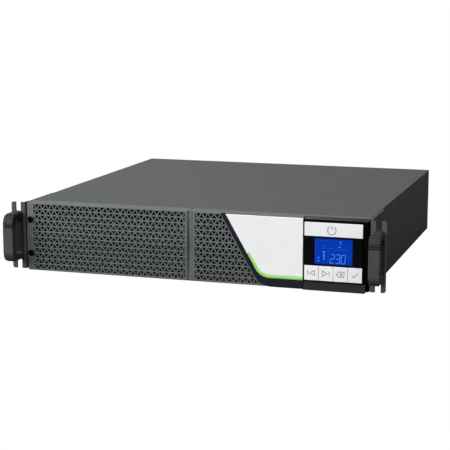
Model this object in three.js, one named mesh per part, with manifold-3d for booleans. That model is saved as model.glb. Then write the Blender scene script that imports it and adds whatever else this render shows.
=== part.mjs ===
// A two-unit rack-mount uninterruptible power supply, built as separate pieces.
// Millimetres. +Z is up and the front looks along -Y. The origin is on the ground plane,
// under the middle of the whole object.

import * as THREE from 'three';
import { mergeGeometries, mergeVertices } from 'three/addons/utils/BufferGeometryUtils.js';
import Module from 'manifold-3d';

const wasm = await Module();
wasm.setup();

// ---------------------------------------------------------------- driving dimensions

const RACK_WIDTH = 482.6;
const BODY_WIDTH = 440;
const BODY_HEIGHT = 88;
const FRONT_Y = -216;
const REAR_Y = 234;
const REAR_LIMIT_Y = 244.5;
const BEZEL_DEPTH = 22;
const SHEET = 1.2;
const SHELL = 2.2;
const GAP = 0.3;
const SLIM_GAP = 0.2;
const OVERRUN = 5;

const HALF_WIDTH = BODY_WIDTH / 2;
const CHASSIS_FRONT_Y = FRONT_Y + BEZEL_DEPTH;
const INNER_X = HALF_WIDTH - SHEET;
const COVER_BOTTOM_Z = BODY_HEIGHT - SHEET;

// Plastic front: a shallow horizontal ridge at mid height.
const BEZEL_LOW_Z = 0.4;
const BEZEL_TOP_Z = 87.6;
const RIDGE_Z = 44;
const RIDGE_FALL = 2.5;
const BEZEL_X = HALF_WIDTH - 0.1;
const BEZEL_BACK_Y = CHASSIS_FRONT_Y - GAP;
const SEAM_X = -3.7;
const GROOVE_RIGHT_X = 3.8;
const GROOVE_LOW_Z = 10;
const GROOVE_DEPTH = 3.4;

// Ventilation pattern of alternating triangles.
const CELL = 8.1;
const CELL_ROWS = 12;
const CELL_INSET = 0.875;
const CELL_HEIGHT = CELL * Math.sin(Math.PI / 3);
const HOLE_HALF = CELL / 2 - CELL_INSET * Math.sqrt(3);
const MESH_LOW_Z = RIDGE_Z - CELL_HEIGHT * CELL_ROWS / 2;
const LEFT_MESH_X = -210.5;
const LEFT_MESH_CELLS = 25;
const RIGHT_MESH_X = 5.4;
const RIGHT_MESH_CELLS = 19;

// White cover with its green edge, and the gloss black surround.
const COVER_TOP_Z = 86.3;
const COVER_LEFT_X = 45.1;
const COVER_RIGHT_X = 141.2;
const COVER_LOW_Z = 11.4;
const COVER_FILLET = 20;
const SURROUND_BORDER = 5.5;
const GREEN_WIDTH = 3.4;
const GREEN_TOP_Z = 39;
const TRIM_SEAT_Y = FRONT_Y + 2.9;
const TRIM_BACK_Y = TRIM_SEAT_Y - GAP;
const SLANT = Math.PI / 6;

// Square display unit that pulls out of its frame.
const DISPLAY_X = 178.3;
const DISPLAY_Z = 47.3;
const DISPLAY_HALF = 35.2;
const DISPLAY_GAP = 1.4;
const FRAME_LEFT_X = 141.7;
const FRAME_FRONT_Y = FRONT_Y + 3.3;
const FRAME_BACK_Y = FRONT_Y + 13;
const FRAME_SLOPE_Z = 85.4;
const LIP_Y = FRONT_Y - 1;
const LIP_LOW_Z = 0.1;
const LIP_TOP_Z = 9.6;
const LIP_CORNER = 4;
const RECESS_DEPTH = 1.5;
const HOUSING_HALF = 33;
const POCKET_HALF = HOUSING_HALF + 0.6;
const HOUSING_BACK_Y = FRONT_Y + 20;
const PLATE_FRONT_Y = FRONT_Y + 2.5;
const PLATE_BACK_Y = FRONT_Y + 4.5;
const KEY_THICK = 1.4;
const WINDOW_LOW_Z = 30.5;
const WINDOW_TOP_Z = 65.5;
const LCD_X = [155.4, 201];
const LCD_Z = [32.6, 63.2];
const KEY_Z = [12.2, 30.1];
const POWER_Z = [65.9, 82.4];
const KEY_NAMES = ['key_previous', 'key_next', 'key_cancel', 'key_confirm'];

// Battery bay, on the left.
const DIVIDER_X = 4;
const TRAY_LEFT_X = -214;
const TRAY_RIGHT_X = -5.5;
const TRAY_FRONT_Y = -187;
const TRAY_BACK_Y = 121;
const TRAY_FLOOR_Z = 2.4;
const BLOCK_WIDTH = 95;
const BLOCK_LENGTH = 150;
const BLOCK_HEIGHT = 65;
const BLOCK_LOW_Z = TRAY_FLOOR_Z + SHEET + GAP;
const AISLE_LEFT_X = -117;
const AISLE_RIGHT_X = -103.5;
const TAB = 4;
const TAB_WIDTH = 6.4;
const TAB_INSET = 12;
const TAB_Z = 60;

// Rack ears and pull handles.
const EAR_FRONT_Y = FRONT_Y + 2;
const EAR_SHEET = 2.2;
const EAR_LOW_Z = 2;
const EAR_TOP_Z = 87.5;
const EAR_LEG = 82;
const EAR_CORNER_R = 2.5;
const EAR_BEND_R = 1.2;
const EAR_STEP = 1.8;
const EAR_STEP_Y = 10;
const NOTCH_X = 232;
const NOTCH_R = 3.5;
const NOTCH_DEPTH = 9.5;
const HANDLE_X = 226;
const HANDLE_WIDTH = 13;
const HANDLE_REACH = 30.5;
const HANDLE_LOW_Z = 14;
const HANDLE_TOP_Z = 76.3;
const HANDLE_R = 13;
const HANDLE_BAR = 9;
const HANDLE_BASE = 1.6;

// ---------------------------------------------------------------- geometry helpers

const AXES_FOR_Y = new THREE.Matrix4().makeBasis(
  new THREE.Vector3(1, 0, 0), new THREE.Vector3(0, 0, 1), new THREE.Vector3(0, -1, 0));
const AXES_FOR_X = new THREE.Matrix4().makeBasis(
  new THREE.Vector3(0, 1, 0), new THREE.Vector3(0, 0, 1), new THREE.Vector3(1, 0, 0));

function box(x0, x1, y0, y1, z0, z1) {
  const geometry = new THREE.BoxGeometry(x1 - x0, y1 - y0, z1 - z0);
  return geometry.translate((x0 + x1) / 2, (y0 + y1) / 2, (z0 + z1) / 2);
}

function outline(points) {
  return new THREE.Shape(points.map(([x, y]) => new THREE.Vector2(x, y)));
}

function extrude(shape, depth) {
  return new THREE.ExtrudeGeometry(shape, { depth, bevelEnabled: false, curveSegments: 8 });
}

// A shape drawn in (X, Z), filling y0 to y1.
function alongY(shape, y0, y1) {
  return extrude(shape, y1 - y0).applyMatrix4(AXES_FOR_Y).translate(0, y1, 0);
}

// A shape drawn in (Y, Z), filling x0 to x1.
function alongX(shape, x0, x1) {
  return extrude(shape, x1 - x0).applyMatrix4(AXES_FOR_X).translate(x0, 0, 0);
}

// A shape drawn in (X, Y), filling z0 to z1.
function alongZ(shape, z0, z1) {
  return extrude(shape, z1 - z0).translate(0, 0, z0);
}

// A shape drawn in (X, Z), running right through the front face.
function throughFront(shape, extra = 0) {
  return alongY(shape, FRONT_Y - OVERRUN, FRONT_Y + OVERRUN + extra);
}

// A square prism centred on the display's axis.
function displaySquare(half, y0, y1) {
  return box(DISPLAY_X - half, DISPLAY_X + half, y0, y1, DISPLAY_Z - half, DISPLAY_Z + half);
}

function rodY(x, z, r, y0, y1, sides = 32) {
  return new THREE.CylinderGeometry(r, r, y1 - y0, sides).translate(x, (y0 + y1) / 2, z);
}

function rodZ(x, y, r, z0, z1, sides = 24) {
  const rod = new THREE.CylinderGeometry(r, r, z1 - z0, sides).rotateX(Math.PI / 2);
  return rod.translate(x, y, (z0 + z1) / 2);
}

function toManifold(geometry) {
  const bare = geometry.clone();
  bare.deleteAttribute('normal');
  bare.deleteAttribute('uv');
  const welded = mergeVertices(bare, 1e-4);
  return new wasm.Manifold(new wasm.Mesh({
    numProp: 3,
    vertProperties: new Float32Array(welded.attributes.position.array),
    triVerts: new Uint32Array(welded.index.array),
  }));
}

function toGeometry(manifold) {
  const mesh = manifold.getMesh();
  const geometry = new THREE.BufferGeometry();
  geometry.setAttribute('position', new THREE.BufferAttribute(mesh.vertProperties, mesh.numProp));
  geometry.setIndex(new THREE.BufferAttribute(mesh.triVerts, 1));
  return geometry;
}

function join(...geometries) {
  return toGeometry(geometries.map(toManifold).reduce((whole, piece) => whole.add(piece)));
}

function cut(geometry, ...tools) {
  return toGeometry(tools.map(toManifold).reduce((rest, tool) => rest.subtract(tool), toManifold(geometry)));
}

function keep(geometry, region) {
  return toGeometry(toManifold(geometry).intersect(toManifold(region)));
}

function mirrorX(geometry) {
  const mirrored = geometry.clone().scale(-1, 1, 1);
  const index = mirrored.index.array;
  for (let i = 0; i < index.length; i += 3) {
    [index[i], index[i + 1]] = [index[i + 1], index[i]];
  }
  return mirrored;
}

// ---------------------------------------------------------------- materials and scene

function finish(color, roughness, metalness) {
  return { color, roughness, metalness };
}

const BLACK_STEEL = finish(0x3a3f3d, 0.55, 0.3);
const ZINC_STEEL = finish(0xa9adab, 0.4, 0.8);
const GREY_PLASTIC = finish(0x4d5452, 0.6, 0);
const BLACK_PLASTIC = finish(0x1c1e1e, 0.5, 0);
const GLOSS_BLACK = finish(0x0b0b10, 0.12, 0);
const WHITE_PLASTIC = finish(0xe6e6e8, 0.35, 0);
const GREEN_PLASTIC = finish(0x7fc24e, 0.3, 0);
const LCD_BLUE = finish(0x0a3cc0, 0.2, 0);
const CIRCUIT_GREEN = finish(0x1f5a36, 0.5, 0);
const ALUMINIUM = finish(0xb6bbbd, 0.35, 0.9);
const COPPER = finish(0xb0683a, 0.4, 0.8);
const FERRITE = finish(0x2b2d30, 0.7, 0.1);
const BRASS = finish(0xc0a050, 0.3, 0.9);
const BATTERY_CASE = finish(0x26282b, 0.65, 0);

const ups = new THREE.Group();

function add(name, geometry, look) {
  const mesh = new THREE.Mesh(geometry, new THREE.MeshStandardMaterial(look));
  mesh.name = name;
  ups.add(mesh);
}

// ---------------------------------------------------------------- sheet-metal chassis

const BOARD_X = [10, 214];
const BOARD_Y = [-140, 195];
const BOARD_Z = 8;
const BOARD_THICK = 1.6;
const BOARD_TOP_Z = BOARD_Z + BOARD_THICK;
const POST_R = 3;

function basePan() {
  const wallTop = COVER_BOTTOM_Z - 0.4;
  const channel = outline([
    [-HALF_WIDTH, 0], [HALF_WIDTH, 0], [HALF_WIDTH, wallTop], [INNER_X, wallTop],
    [INNER_X, SHEET], [-INNER_X, SHEET], [-INNER_X, wallTop], [-HALF_WIDTH, wallTop],
  ]);
  const posts = [];
  for (const x of [BOARD_X[0] + 8, BOARD_X[1] - 8]) {
    for (const y of [BOARD_Y[0] + 8, (BOARD_Y[0] + BOARD_Y[1]) / 2, BOARD_Y[1] - 8]) {
      posts.push(rodZ(x, y, POST_R, SHEET / 2, BOARD_Z - GAP, 12));
    }
  }
  return join(alongY(channel, CHASSIS_FRONT_Y, REAR_Y), ...posts);
}

function topCover() {
  const lipOuter = INNER_X - GAP;
  const lipInner = lipOuter - SHEET;
  const lipLow = COVER_BOTTOM_Z - 9;
  return alongY(outline([
    [-HALF_WIDTH, BODY_HEIGHT], [-HALF_WIDTH, COVER_BOTTOM_Z], [-lipOuter, COVER_BOTTOM_Z],
    [-lipOuter, lipLow], [-lipInner, lipLow], [-lipInner, COVER_BOTTOM_Z],
    [lipInner, COVER_BOTTOM_Z], [lipInner, lipLow], [lipOuter, lipLow],
    [lipOuter, COVER_BOTTOM_Z], [HALF_WIDTH, COVER_BOTTOM_Z], [HALF_WIDTH, BODY_HEIGHT],
  ]), CHASSIS_FRONT_Y, REAR_Y);
}

function frontBulkhead() {
  const plate = box(DIVIDER_X + SHEET + GAP, INNER_X - GAP, CHASSIS_FRONT_Y + 1,
    CHASSIS_FRONT_Y + 1 + SHEET, SHEET + GAP, COVER_BOTTOM_Z - 10);
  const displayHole = displaySquare(POCKET_HALF, CHASSIS_FRONT_Y - OVERRUN, CHASSIS_FRONT_Y + OVERRUN);
  const slots = [];
  for (let x = 18; x < 132; x += 12) {
    slots.push(box(x, x + 6, CHASSIS_FRONT_Y - OVERRUN, CHASSIS_FRONT_Y + OVERRUN, 14, 66));
  }
  return cut(plate, displayHole, mergeGeometries(slots));
}

function dividerWall() {
  return box(DIVIDER_X, DIVIDER_X + SHEET, CHASSIS_FRONT_Y + 1, 150, SHEET + GAP, COVER_BOTTOM_Z - GAP);
}

add('base_pan', basePan(), BLACK_STEEL);
add('top_cover', topCover(), BLACK_STEEL);
add('front_bulkhead', frontBulkhead(), BLACK_STEEL);
add('divider_wall', dividerWall(), BLACK_STEEL);

// ---------------------------------------------------------------- rack ears and handles

function notch(z, outward) {
  const end = z + outward * NOTCH_DEPTH;
  const lane = box(NOTCH_X - NOTCH_R, NOTCH_X + NOTCH_R, EAR_FRONT_Y - OVERRUN, EAR_FRONT_Y + OVERRUN,
    Math.min(end, end + outward * -60), Math.max(end, end - outward * 60));
  const round = rodY(NOTCH_X, end, NOTCH_R, EAR_FRONT_Y - OVERRUN, EAR_FRONT_Y + OVERRUN, 20);
  return join(lane, round);
}

function rightEar() {
  const leg = HALF_WIDTH + GAP;
  const neck = leg + EAR_STEP;
  const stepY = EAR_FRONT_Y + EAR_STEP_Y;
  const edge = RACK_WIDTH / 2;
  const cornerX = edge - EAR_CORNER_R;
  const plan = new THREE.Shape();
  plan.moveTo(leg, EAR_FRONT_Y + EAR_LEG);
  plan.lineTo(leg, stepY + EAR_STEP);
  plan.lineTo(neck, stepY);
  plan.absarc(neck + EAR_BEND_R, EAR_FRONT_Y + EAR_BEND_R, EAR_BEND_R, Math.PI, Math.PI * 1.5, false);
  plan.lineTo(edge, EAR_FRONT_Y);
  plan.lineTo(edge, EAR_FRONT_Y + EAR_SHEET);
  plan.lineTo(neck + EAR_SHEET, EAR_FRONT_Y + EAR_SHEET);
  plan.lineTo(neck + EAR_SHEET, stepY);
  plan.lineTo(leg + EAR_SHEET, stepY + EAR_STEP);
  plan.lineTo(leg + EAR_SHEET, EAR_FRONT_Y + EAR_LEG);
  plan.closePath();
  const face = new THREE.Shape();
  face.moveTo(leg - 1, EAR_LOW_Z);
  face.lineTo(cornerX, EAR_LOW_Z);
  face.absarc(cornerX, EAR_LOW_Z + EAR_CORNER_R, EAR_CORNER_R, -Math.PI / 2, 0, false);
  face.absarc(cornerX, EAR_TOP_Z - EAR_CORNER_R, EAR_CORNER_R, 0, Math.PI / 2, false);
  face.lineTo(leg - 1, EAR_TOP_Z);
  face.closePath();
  const inOutline = alongY(face, EAR_FRONT_Y - 1, EAR_FRONT_Y + EAR_LEG + 1);
  return cut(keep(alongZ(plan, EAR_LOW_Z, EAR_TOP_Z), inOutline), notch(EAR_LOW_Z, 1), notch(EAR_TOP_Z, -1));
}

// A loop seen from the side: a bar held off its base plate by two legs, with a finger gap.
function rightHandle() {
  const back = EAR_FRONT_Y - GAP;
  const front = EAR_FRONT_Y - HANDLE_REACH;
  const low = HANDLE_LOW_Z;
  const top = HANDLE_TOP_Z;
  const side = new THREE.Shape();
  side.moveTo(back, low);
  side.lineTo(front + HANDLE_R, low);
  side.absarc(front + HANDLE_R, low + HANDLE_R, HANDLE_R, -Math.PI / 2, -Math.PI, true);
  side.lineTo(front, top - HANDLE_R);
  side.absarc(front + HANDLE_R, top - HANDLE_R, HANDLE_R, Math.PI, Math.PI / 2, true);
  side.lineTo(back, top);
  side.closePath();
  const gapFront = front + HANDLE_BAR;
  const gapBack = back - HANDLE_BASE;
  const gapLow = low + HANDLE_BAR;
  const gapTop = top - HANDLE_BAR;
  const gapR = HANDLE_R - HANDLE_BAR / 2;
  const fingers = new THREE.Path();
  fingers.moveTo(gapBack, gapTop);
  fingers.lineTo(gapFront + gapR, gapTop);
  fingers.absarc(gapFront + gapR, gapTop - gapR, gapR, Math.PI / 2, Math.PI, false);
  fingers.lineTo(gapFront, gapLow + gapR);
  fingers.absarc(gapFront + gapR, gapLow + gapR, gapR, Math.PI, Math.PI * 1.5, false);
  fingers.lineTo(gapBack, gapLow);
  fingers.closePath();
  side.holes.push(fingers);
  return alongX(side, HANDLE_X, HANDLE_X + HANDLE_WIDTH);
}

const earRight = rightEar();
const handleRight = join(rightHandle());
add('ear_left', mirrorX(earRight), BLACK_STEEL);
add('ear_right', earRight, BLACK_STEEL);
add('handle_left', mirrorX(handleRight), GREY_PLASTIC);
add('handle_right', handleRight, GREY_PLASTIC);

// ---------------------------------------------------------------- plastic front

// Side profile of the ridged front, set in by the given thickness, from its back edge forward.
function ridgeProfile(inset, backY) {
  const ridge = FRONT_Y + inset * 1.1;
  const edge = ridge + RIDGE_FALL;
  return outline([
    [backY, BEZEL_LOW_Z + inset], [edge, BEZEL_LOW_Z + inset], [ridge, RIDGE_Z],
    [edge, BEZEL_TOP_Z - inset], [backY, BEZEL_TOP_Z - inset],
  ]);
}

// One triangular hole, point up or down, in a cell whose lower left corner is (x, z).
function triangle(x, z, up) {
  const middle = x + CELL / 2;
  const low = z + (up ? CELL_INSET : 2 * CELL_INSET);
  const high = z + CELL_HEIGHT - (up ? 2 * CELL_INSET : CELL_INSET);
  return up
    ? outline([[middle - HOLE_HALF, low], [middle + HOLE_HALF, low], [middle, high]])
    : outline([[middle, low], [middle + HOLE_HALF, high], [middle - HOLE_HALF, high]]);
}

// The half of a triangle that lies on one side (+1 right, -1 left) of its own middle line.
function halfTriangle(middle, z, up, side) {
  const low = z + (up ? CELL_INSET : 2 * CELL_INSET);
  const high = z + CELL_HEIGHT - (up ? 2 * CELL_INSET : CELL_INSET);
  const corners = [[middle, low], [middle + side * HOLE_HALF, up ? low : high], [middle, high]];
  return outline(side > 0 ? corners : corners.reverse());
}

// Rows of triangles from a straight left edge. cellsInRow() gives the number of whole ones.
function meshHoles(startX, cellsInRow) {
  const holes = [];
  for (let row = 0; row < CELL_ROWS; row += 1) {
    const z = MESH_LOW_Z + row * CELL_HEIGHT;
    for (let i = 0; i < cellsInRow(row); i += 1) {
      holes.push(triangle(startX + i * CELL / 2, z, (row + i) % 2 === 0));
    }
    holes.push(halfTriangle(startX, z, row % 2 === 1, 1));
  }
  return holes;
}

function leftMesh() {
  const holes = meshHoles(LEFT_MESH_X, () => 2 * LEFT_MESH_CELLS - 1);
  for (let row = 0; row < CELL_ROWS; row += 1) {
    const z = MESH_LOW_Z + row * CELL_HEIGHT;
    holes.push(halfTriangle(LEFT_MESH_X + LEFT_MESH_CELLS * CELL, z, row % 2 === 1, -1));
  }
  return mergeGeometries(holes.map((hole) => throughFront(hole, 2)));
}

// Each row is half a cell shorter than the one below it, which follows the slanted edge of the
// cover. The lowest row runs on under the cover's rounded corner.
function rightMesh() {
  const holes = meshHoles(RIGHT_MESH_X, (row) => (row ? RIGHT_MESH_CELLS - row : RIGHT_MESH_CELLS + 2));
  return cut(mergeGeometries(holes.map((hole) => throughFront(hole, 2))),
    surroundRegion(FRONT_Y - OVERRUN - 1, BEZEL_BACK_Y, CELL_INSET));
}

const PANEL_SCREWS = [['upper', 65.7], ['lower', 22.6]];
const PANEL_SCREW_X = -214.9;
const SCREW_HEAD_Y = FRONT_Y + 3.9;
const SCREW_SEAT_Y = FRONT_Y + 6;

function batteryPanel() {
  const right = SEAM_X - GAP / 2;
  const shell = cut(
    alongX(ridgeProfile(0, BEZEL_BACK_Y), -BEZEL_X, right),
    alongX(ridgeProfile(SHELL, BEZEL_BACK_Y + OVERRUN), -BEZEL_X + SHELL, right - SHELL));
  const bosses = PANEL_SCREWS.map(([, z]) => rodY(PANEL_SCREW_X, z, 4.9, FRONT_Y + 2.5, BEZEL_BACK_Y - 2));
  const bores = PANEL_SCREWS.flatMap(([, z]) => [
    rodY(PANEL_SCREW_X, z, 4.1, FRONT_Y - OVERRUN, SCREW_SEAT_Y),
    rodY(PANEL_SCREW_X, z, 2.1, FRONT_Y, BEZEL_BACK_Y + OVERRUN, 16),
  ]);
  return cut(join(shell, ...bosses), leftMesh(), ...bores);
}

function panelScrew(z) {
  return join(
    rodY(PANEL_SCREW_X, z, 3.5, SCREW_HEAD_Y, SCREW_SEAT_Y - GAP, 20),
    rodY(PANEL_SCREW_X, z, 1.7, SCREW_HEAD_Y + 1, BEZEL_BACK_Y - 1, 12));
}

// Outline of the white cover: a 60 degree left edge that rounds into a level lower edge.
function coverOutline(inset, lowZ = COVER_LOW_Z, rightX = COVER_RIGHT_X, topZ = COVER_TOP_Z) {
  const radius = COVER_FILLET - inset;
  const low = lowZ + inset;
  const shift = inset / Math.cos(SLANT);
  const edgeX = (z) => COVER_LEFT_X + shift + (COVER_TOP_Z - z) * Math.tan(SLANT);
  const centreZ = low + radius;
  const centreX = edgeX(centreZ) + radius / Math.cos(SLANT);
  const shape = new THREE.Shape();
  shape.moveTo(rightX, topZ);
  shape.lineTo(edgeX(topZ), topZ);
  shape.absarc(centreX, centreZ, radius, Math.PI + SLANT, Math.PI * 1.5, false);
  shape.lineTo(rightX, low);
  shape.closePath();
  return shape;
}

const SURROUND_LOW_Z = BEZEL_LOW_Z + SURROUND_BORDER;

function surroundRegion(y0, y1, grow = 0) {
  const shape = coverOutline(-SURROUND_BORDER - grow, SURROUND_LOW_Z, FRAME_LEFT_X - GAP + grow, BEZEL_TOP_Z);
  return alongY(shape, y0, y1);
}

function frontBezel() {
  const frameStep = FRAME_LEFT_X - GAP;
  const backZone = FRAME_BACK_Y + GAP;
  const body = join(
    alongX(ridgeProfile(0, BEZEL_BACK_Y), SEAM_X + GAP / 2, frameStep),
    box(frameStep - SHELL, BEZEL_X, backZone, BEZEL_BACK_Y, BEZEL_LOW_Z, BEZEL_TOP_Z));
  const wallBack = TRIM_SEAT_Y + 2.4;
  const inside = box(SEAM_X + SHELL, frameStep - SHELL, wallBack, BEZEL_BACK_Y + OVERRUN,
    BEZEL_LOW_Z + SHELL, BEZEL_TOP_Z - SHELL);
  const insideRight = box(frameStep - SHELL - 1, BEZEL_X - SHELL, backZone + SHELL, BEZEL_BACK_Y + OVERRUN,
    BEZEL_LOW_Z + SHELL, BEZEL_TOP_Z - SHELL);
  const meshInside = cut(
    alongX(ridgeProfile(SHELL, wallBack + 1), GROOVE_RIGHT_X + 1, frameStep - SHELL),
    surroundRegion(FRONT_Y - OVERRUN, BEZEL_BACK_Y, SHELL));
  const groove = box(SEAM_X - 1, GROOVE_RIGHT_X, FRONT_Y - OVERRUN, FRONT_Y + GROOVE_DEPTH,
    GROOVE_LOW_Z, BODY_HEIGHT);
  const seat = surroundRegion(FRONT_Y - OVERRUN, TRIM_SEAT_Y, GAP);
  const displayHole = displaySquare(POCKET_HALF, FRONT_Y, BEZEL_BACK_Y);
  return cut(body, inside, insideRight, meshInside, groove, seat, rightMesh(), displayHole);
}

function accentSurround() {
  return cut(surroundRegion(FRONT_Y + 0.4, TRIM_BACK_Y),
    throughFront(coverOutline(-GAP, COVER_LOW_Z, HALF_WIDTH, BODY_HEIGHT + OVERRUN)));
}

// Everything below the square-cut upper end of the green edge.
function belowGreenEnd(shift) {
  const endX = COVER_LEFT_X + (COVER_TOP_Z - GREEN_TOP_Z) * Math.tan(SLANT);
  const reach = 200;
  const half = new THREE.BoxGeometry(2 * reach, 2 * reach, reach).translate(0, 0, -reach / 2 + shift);
  return half.rotateY(-SLANT).translate(endX, FRONT_Y, GREEN_TOP_Z);
}

function greenStrip() {
  const band = cut(alongY(coverOutline(0), FRONT_Y + 0.2, TRIM_BACK_Y),
    throughFront(coverOutline(GREEN_WIDTH, COVER_LOW_Z, HALF_WIDTH, BODY_HEIGHT)));
  return keep(band, belowGreenEnd(0));
}

function whiteCover() {
  const whole = alongY(coverOutline(0), FRONT_Y, TRIM_BACK_Y);
  const band = cut(alongY(coverOutline(-1, COVER_LOW_Z, HALF_WIDTH), FRONT_Y - 1, FRONT_Y + OVERRUN),
    throughFront(coverOutline(GREEN_WIDTH + GAP, COVER_LOW_Z, HALF_WIDTH + 1, BODY_HEIGHT), 1));
  return cut(whole, keep(band, belowGreenEnd(GAP)));
}

// A frame set back from the keys, whose lower lip leans forward past the front plane.
function displayFrame() {
  const profile = outline([
    [FRAME_BACK_Y, LIP_LOW_Z], [LIP_Y, LIP_LOW_Z], [FRAME_FRONT_Y, LIP_TOP_Z],
    [FRAME_FRONT_Y, FRAME_SLOPE_Z], [FRAME_BACK_Y, BEZEL_TOP_Z],
  ]);
  const recess = displaySquare(DISPLAY_HALF + DISPLAY_GAP, FRONT_Y, FRAME_FRONT_Y + RECESS_DEPTH);
  const hole = displaySquare(POCKET_HALF, FRONT_Y, FRAME_BACK_Y + OVERRUN);
  const outside = HALF_WIDTH + 1;
  const chamfer = alongZ(outline([
    [BEZEL_X - 2.6, FRAME_FRONT_Y - 0.1], [BEZEL_X - 2.6, LIP_Y - 1], [outside, LIP_Y - 1],
    [outside, FRAME_FRONT_Y + 3.6],
  ]), -1, BODY_HEIGHT + 1);
  const corner = throughFront(outline([
    [BEZEL_X - LIP_CORNER, BEZEL_LOW_Z - 1], [outside, BEZEL_LOW_Z - 1], [outside, BEZEL_LOW_Z + LIP_CORNER],
  ]), 3);
  return cut(alongX(profile, FRAME_LEFT_X, BEZEL_X), recess, hole, chamfer, corner);
}

add('front_bezel', frontBezel(), GREY_PLASTIC);
add('accent_surround', accentSurround(), GLOSS_BLACK);
add('white_cover', whiteCover(), WHITE_PLASTIC);
add('green_strip', greenStrip(), GREEN_PLASTIC);
add('display_frame', displayFrame(), BLACK_PLASTIC);
add('battery_panel', batteryPanel(), GREY_PLASTIC);
for (const [place, z] of PANEL_SCREWS) {
  add(`panel_screw_${place}`, panelScrew(z), BLACK_STEEL);
}

// ---------------------------------------------------------------- display unit and its keys

function displayHousing() {
  const inner = HOUSING_HALF - 1.6;
  const plate = displaySquare(DISPLAY_HALF, PLATE_FRONT_Y, PLATE_BACK_Y);
  const lensSeat = box(DISPLAY_X - DISPLAY_HALF, DISPLAY_X + DISPLAY_HALF, FRONT_Y + 1.6, PLATE_BACK_Y,
    WINDOW_LOW_Z, WINDOW_TOP_Z);
  const walls = cut(displaySquare(HOUSING_HALF, PLATE_BACK_Y - 1, HOUSING_BACK_Y),
    displaySquare(inner, PLATE_BACK_Y, HOUSING_BACK_Y + 1));
  const pocket = box(LCD_X[0] - GAP, LCD_X[1] + GAP, FRONT_Y, HOUSING_BACK_Y, LCD_Z[0] - GAP, LCD_Z[1] + GAP);
  return cut(join(plate, lensSeat, walls), pocket);
}

add('display_housing', displayHousing(), BLACK_PLASTIC);
add('lcd_panel', box(...LCD_X, FRONT_Y + 1.6, FRONT_Y + 7, ...LCD_Z), LCD_BLUE);
add('display_window', box(DISPLAY_X - DISPLAY_HALF + SLIM_GAP, DISPLAY_X + DISPLAY_HALF - SLIM_GAP,
  FRONT_Y + 0.1, FRONT_Y + 1.3, WINDOW_LOW_Z, WINDOW_TOP_Z), GLOSS_BLACK);
add('display_board', displaySquare(30, FRONT_Y + 12, FRONT_Y + 12 + BOARD_THICK), CIRCUIT_GREEN);
add('power_button', box(DISPLAY_X - DISPLAY_HALF, DISPLAY_X + DISPLAY_HALF, FRONT_Y, FRONT_Y + KEY_THICK,
  ...POWER_Z), WHITE_PLASTIC);
KEY_NAMES.forEach((name, i) => {
  const pitch = 2 * DISPLAY_HALF / KEY_NAMES.length;
  const left = DISPLAY_X - DISPLAY_HALF + i * pitch;
  add(name, box(left + SLIM_GAP, left + pitch - SLIM_GAP, FRONT_Y, FRONT_Y + KEY_THICK,
    ...KEY_Z), WHITE_PLASTIC);
});

// ---------------------------------------------------------------- battery drawer

const TRAY_WALL_Z = 42;
const TRAY_FRONT_Z = 66;
const PULL_X = [-140, -80];
const PULL_Z = [46, 51];
const PULL_REACH = 16;
const PULL_BAR = 5;
const PLUG_X = -110;
const PLUG_Y = [TRAY_BACK_Y + GAP, TRAY_BACK_Y + 20];
const PLUG_Z = [12, 28];
const PLUG_HALF = 20;

function batteryTray() {
  const [x0, x1] = [TRAY_LEFT_X, TRAY_RIGHT_X];
  const [y0, y1] = [TRAY_FRONT_Y, TRAY_BACK_Y];
  const [pullLeft, pullRight] = PULL_X;
  const [pullLow, pullTop] = PULL_Z;
  const pullFront = y0 - PULL_REACH;
  const floor = box(x0, x1, y0, y1, TRAY_FLOOR_Z, TRAY_FLOOR_Z + SHEET);
  const left = box(x0, x0 + SHEET, y0, y1, TRAY_FLOOR_Z, TRAY_WALL_Z);
  const right = box(x1 - SHEET, x1, y0, y1, TRAY_FLOOR_Z, TRAY_WALL_Z);
  const front = box(x0, x1, y0, y0 + SHEET, TRAY_FLOOR_Z, TRAY_FRONT_Z);
  const back = box(x0, x1, y1 - SHEET, y1, TRAY_FLOOR_Z, TRAY_WALL_Z);
  const pull = cut(
    box(pullLeft, pullRight, pullFront, y0 + SHEET / 2, pullLow, pullTop),
    box(pullLeft + PULL_BAR, pullRight - PULL_BAR, pullFront + PULL_BAR, y0, pullLow - 1, pullTop + 1));
  return join(floor, left, right, front, back, pull);
}

// One sealed block on its side, its two tabs pointing into the aisle between the columns.
function batteryBlock(column, row) {
  const isLeft = column === 0;
  const x0 = isLeft ? AISLE_LEFT_X - BLOCK_WIDTH : AISLE_RIGHT_X;
  const y0 = TRAY_FRONT_Y + SHEET + 1.5 + row * (BLOCK_LENGTH + 1.5);
  const lidX = isLeft ? x0 + BLOCK_WIDTH - 12 : x0 + 11.2;
  const body = cut(
    box(x0, x0 + BLOCK_WIDTH, y0, y0 + BLOCK_LENGTH, BLOCK_LOW_Z, BLOCK_LOW_Z + BLOCK_HEIGHT),
    cut(
      box(lidX, lidX + 0.8, y0 - 1, y0 + BLOCK_LENGTH + 1, BLOCK_LOW_Z - 1, BLOCK_LOW_Z + BLOCK_HEIGHT + 1),
      box(lidX - 1, lidX + 2, y0 + 0.6, y0 + BLOCK_LENGTH - 0.6, BLOCK_LOW_Z + 0.6,
        BLOCK_LOW_Z + BLOCK_HEIGHT - 0.6)));
  const tabs = [y0 + TAB_INSET, y0 + BLOCK_LENGTH - TAB_INSET].map((y) => (isLeft
    ? box(AISLE_LEFT_X - 1, AISLE_LEFT_X + TAB, y - TAB_WIDTH / 2, y + TAB_WIDTH / 2, TAB_Z - 1, TAB_Z)
    : box(AISLE_RIGHT_X - TAB, AISLE_RIGHT_X + 1, y - TAB_WIDTH / 2, y + TAB_WIDTH / 2, TAB_Z - 1, TAB_Z)));
  return join(body, ...tabs);
}

const LINK_THICK = 1.5;
const LINK_Z = [56, 64];

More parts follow.
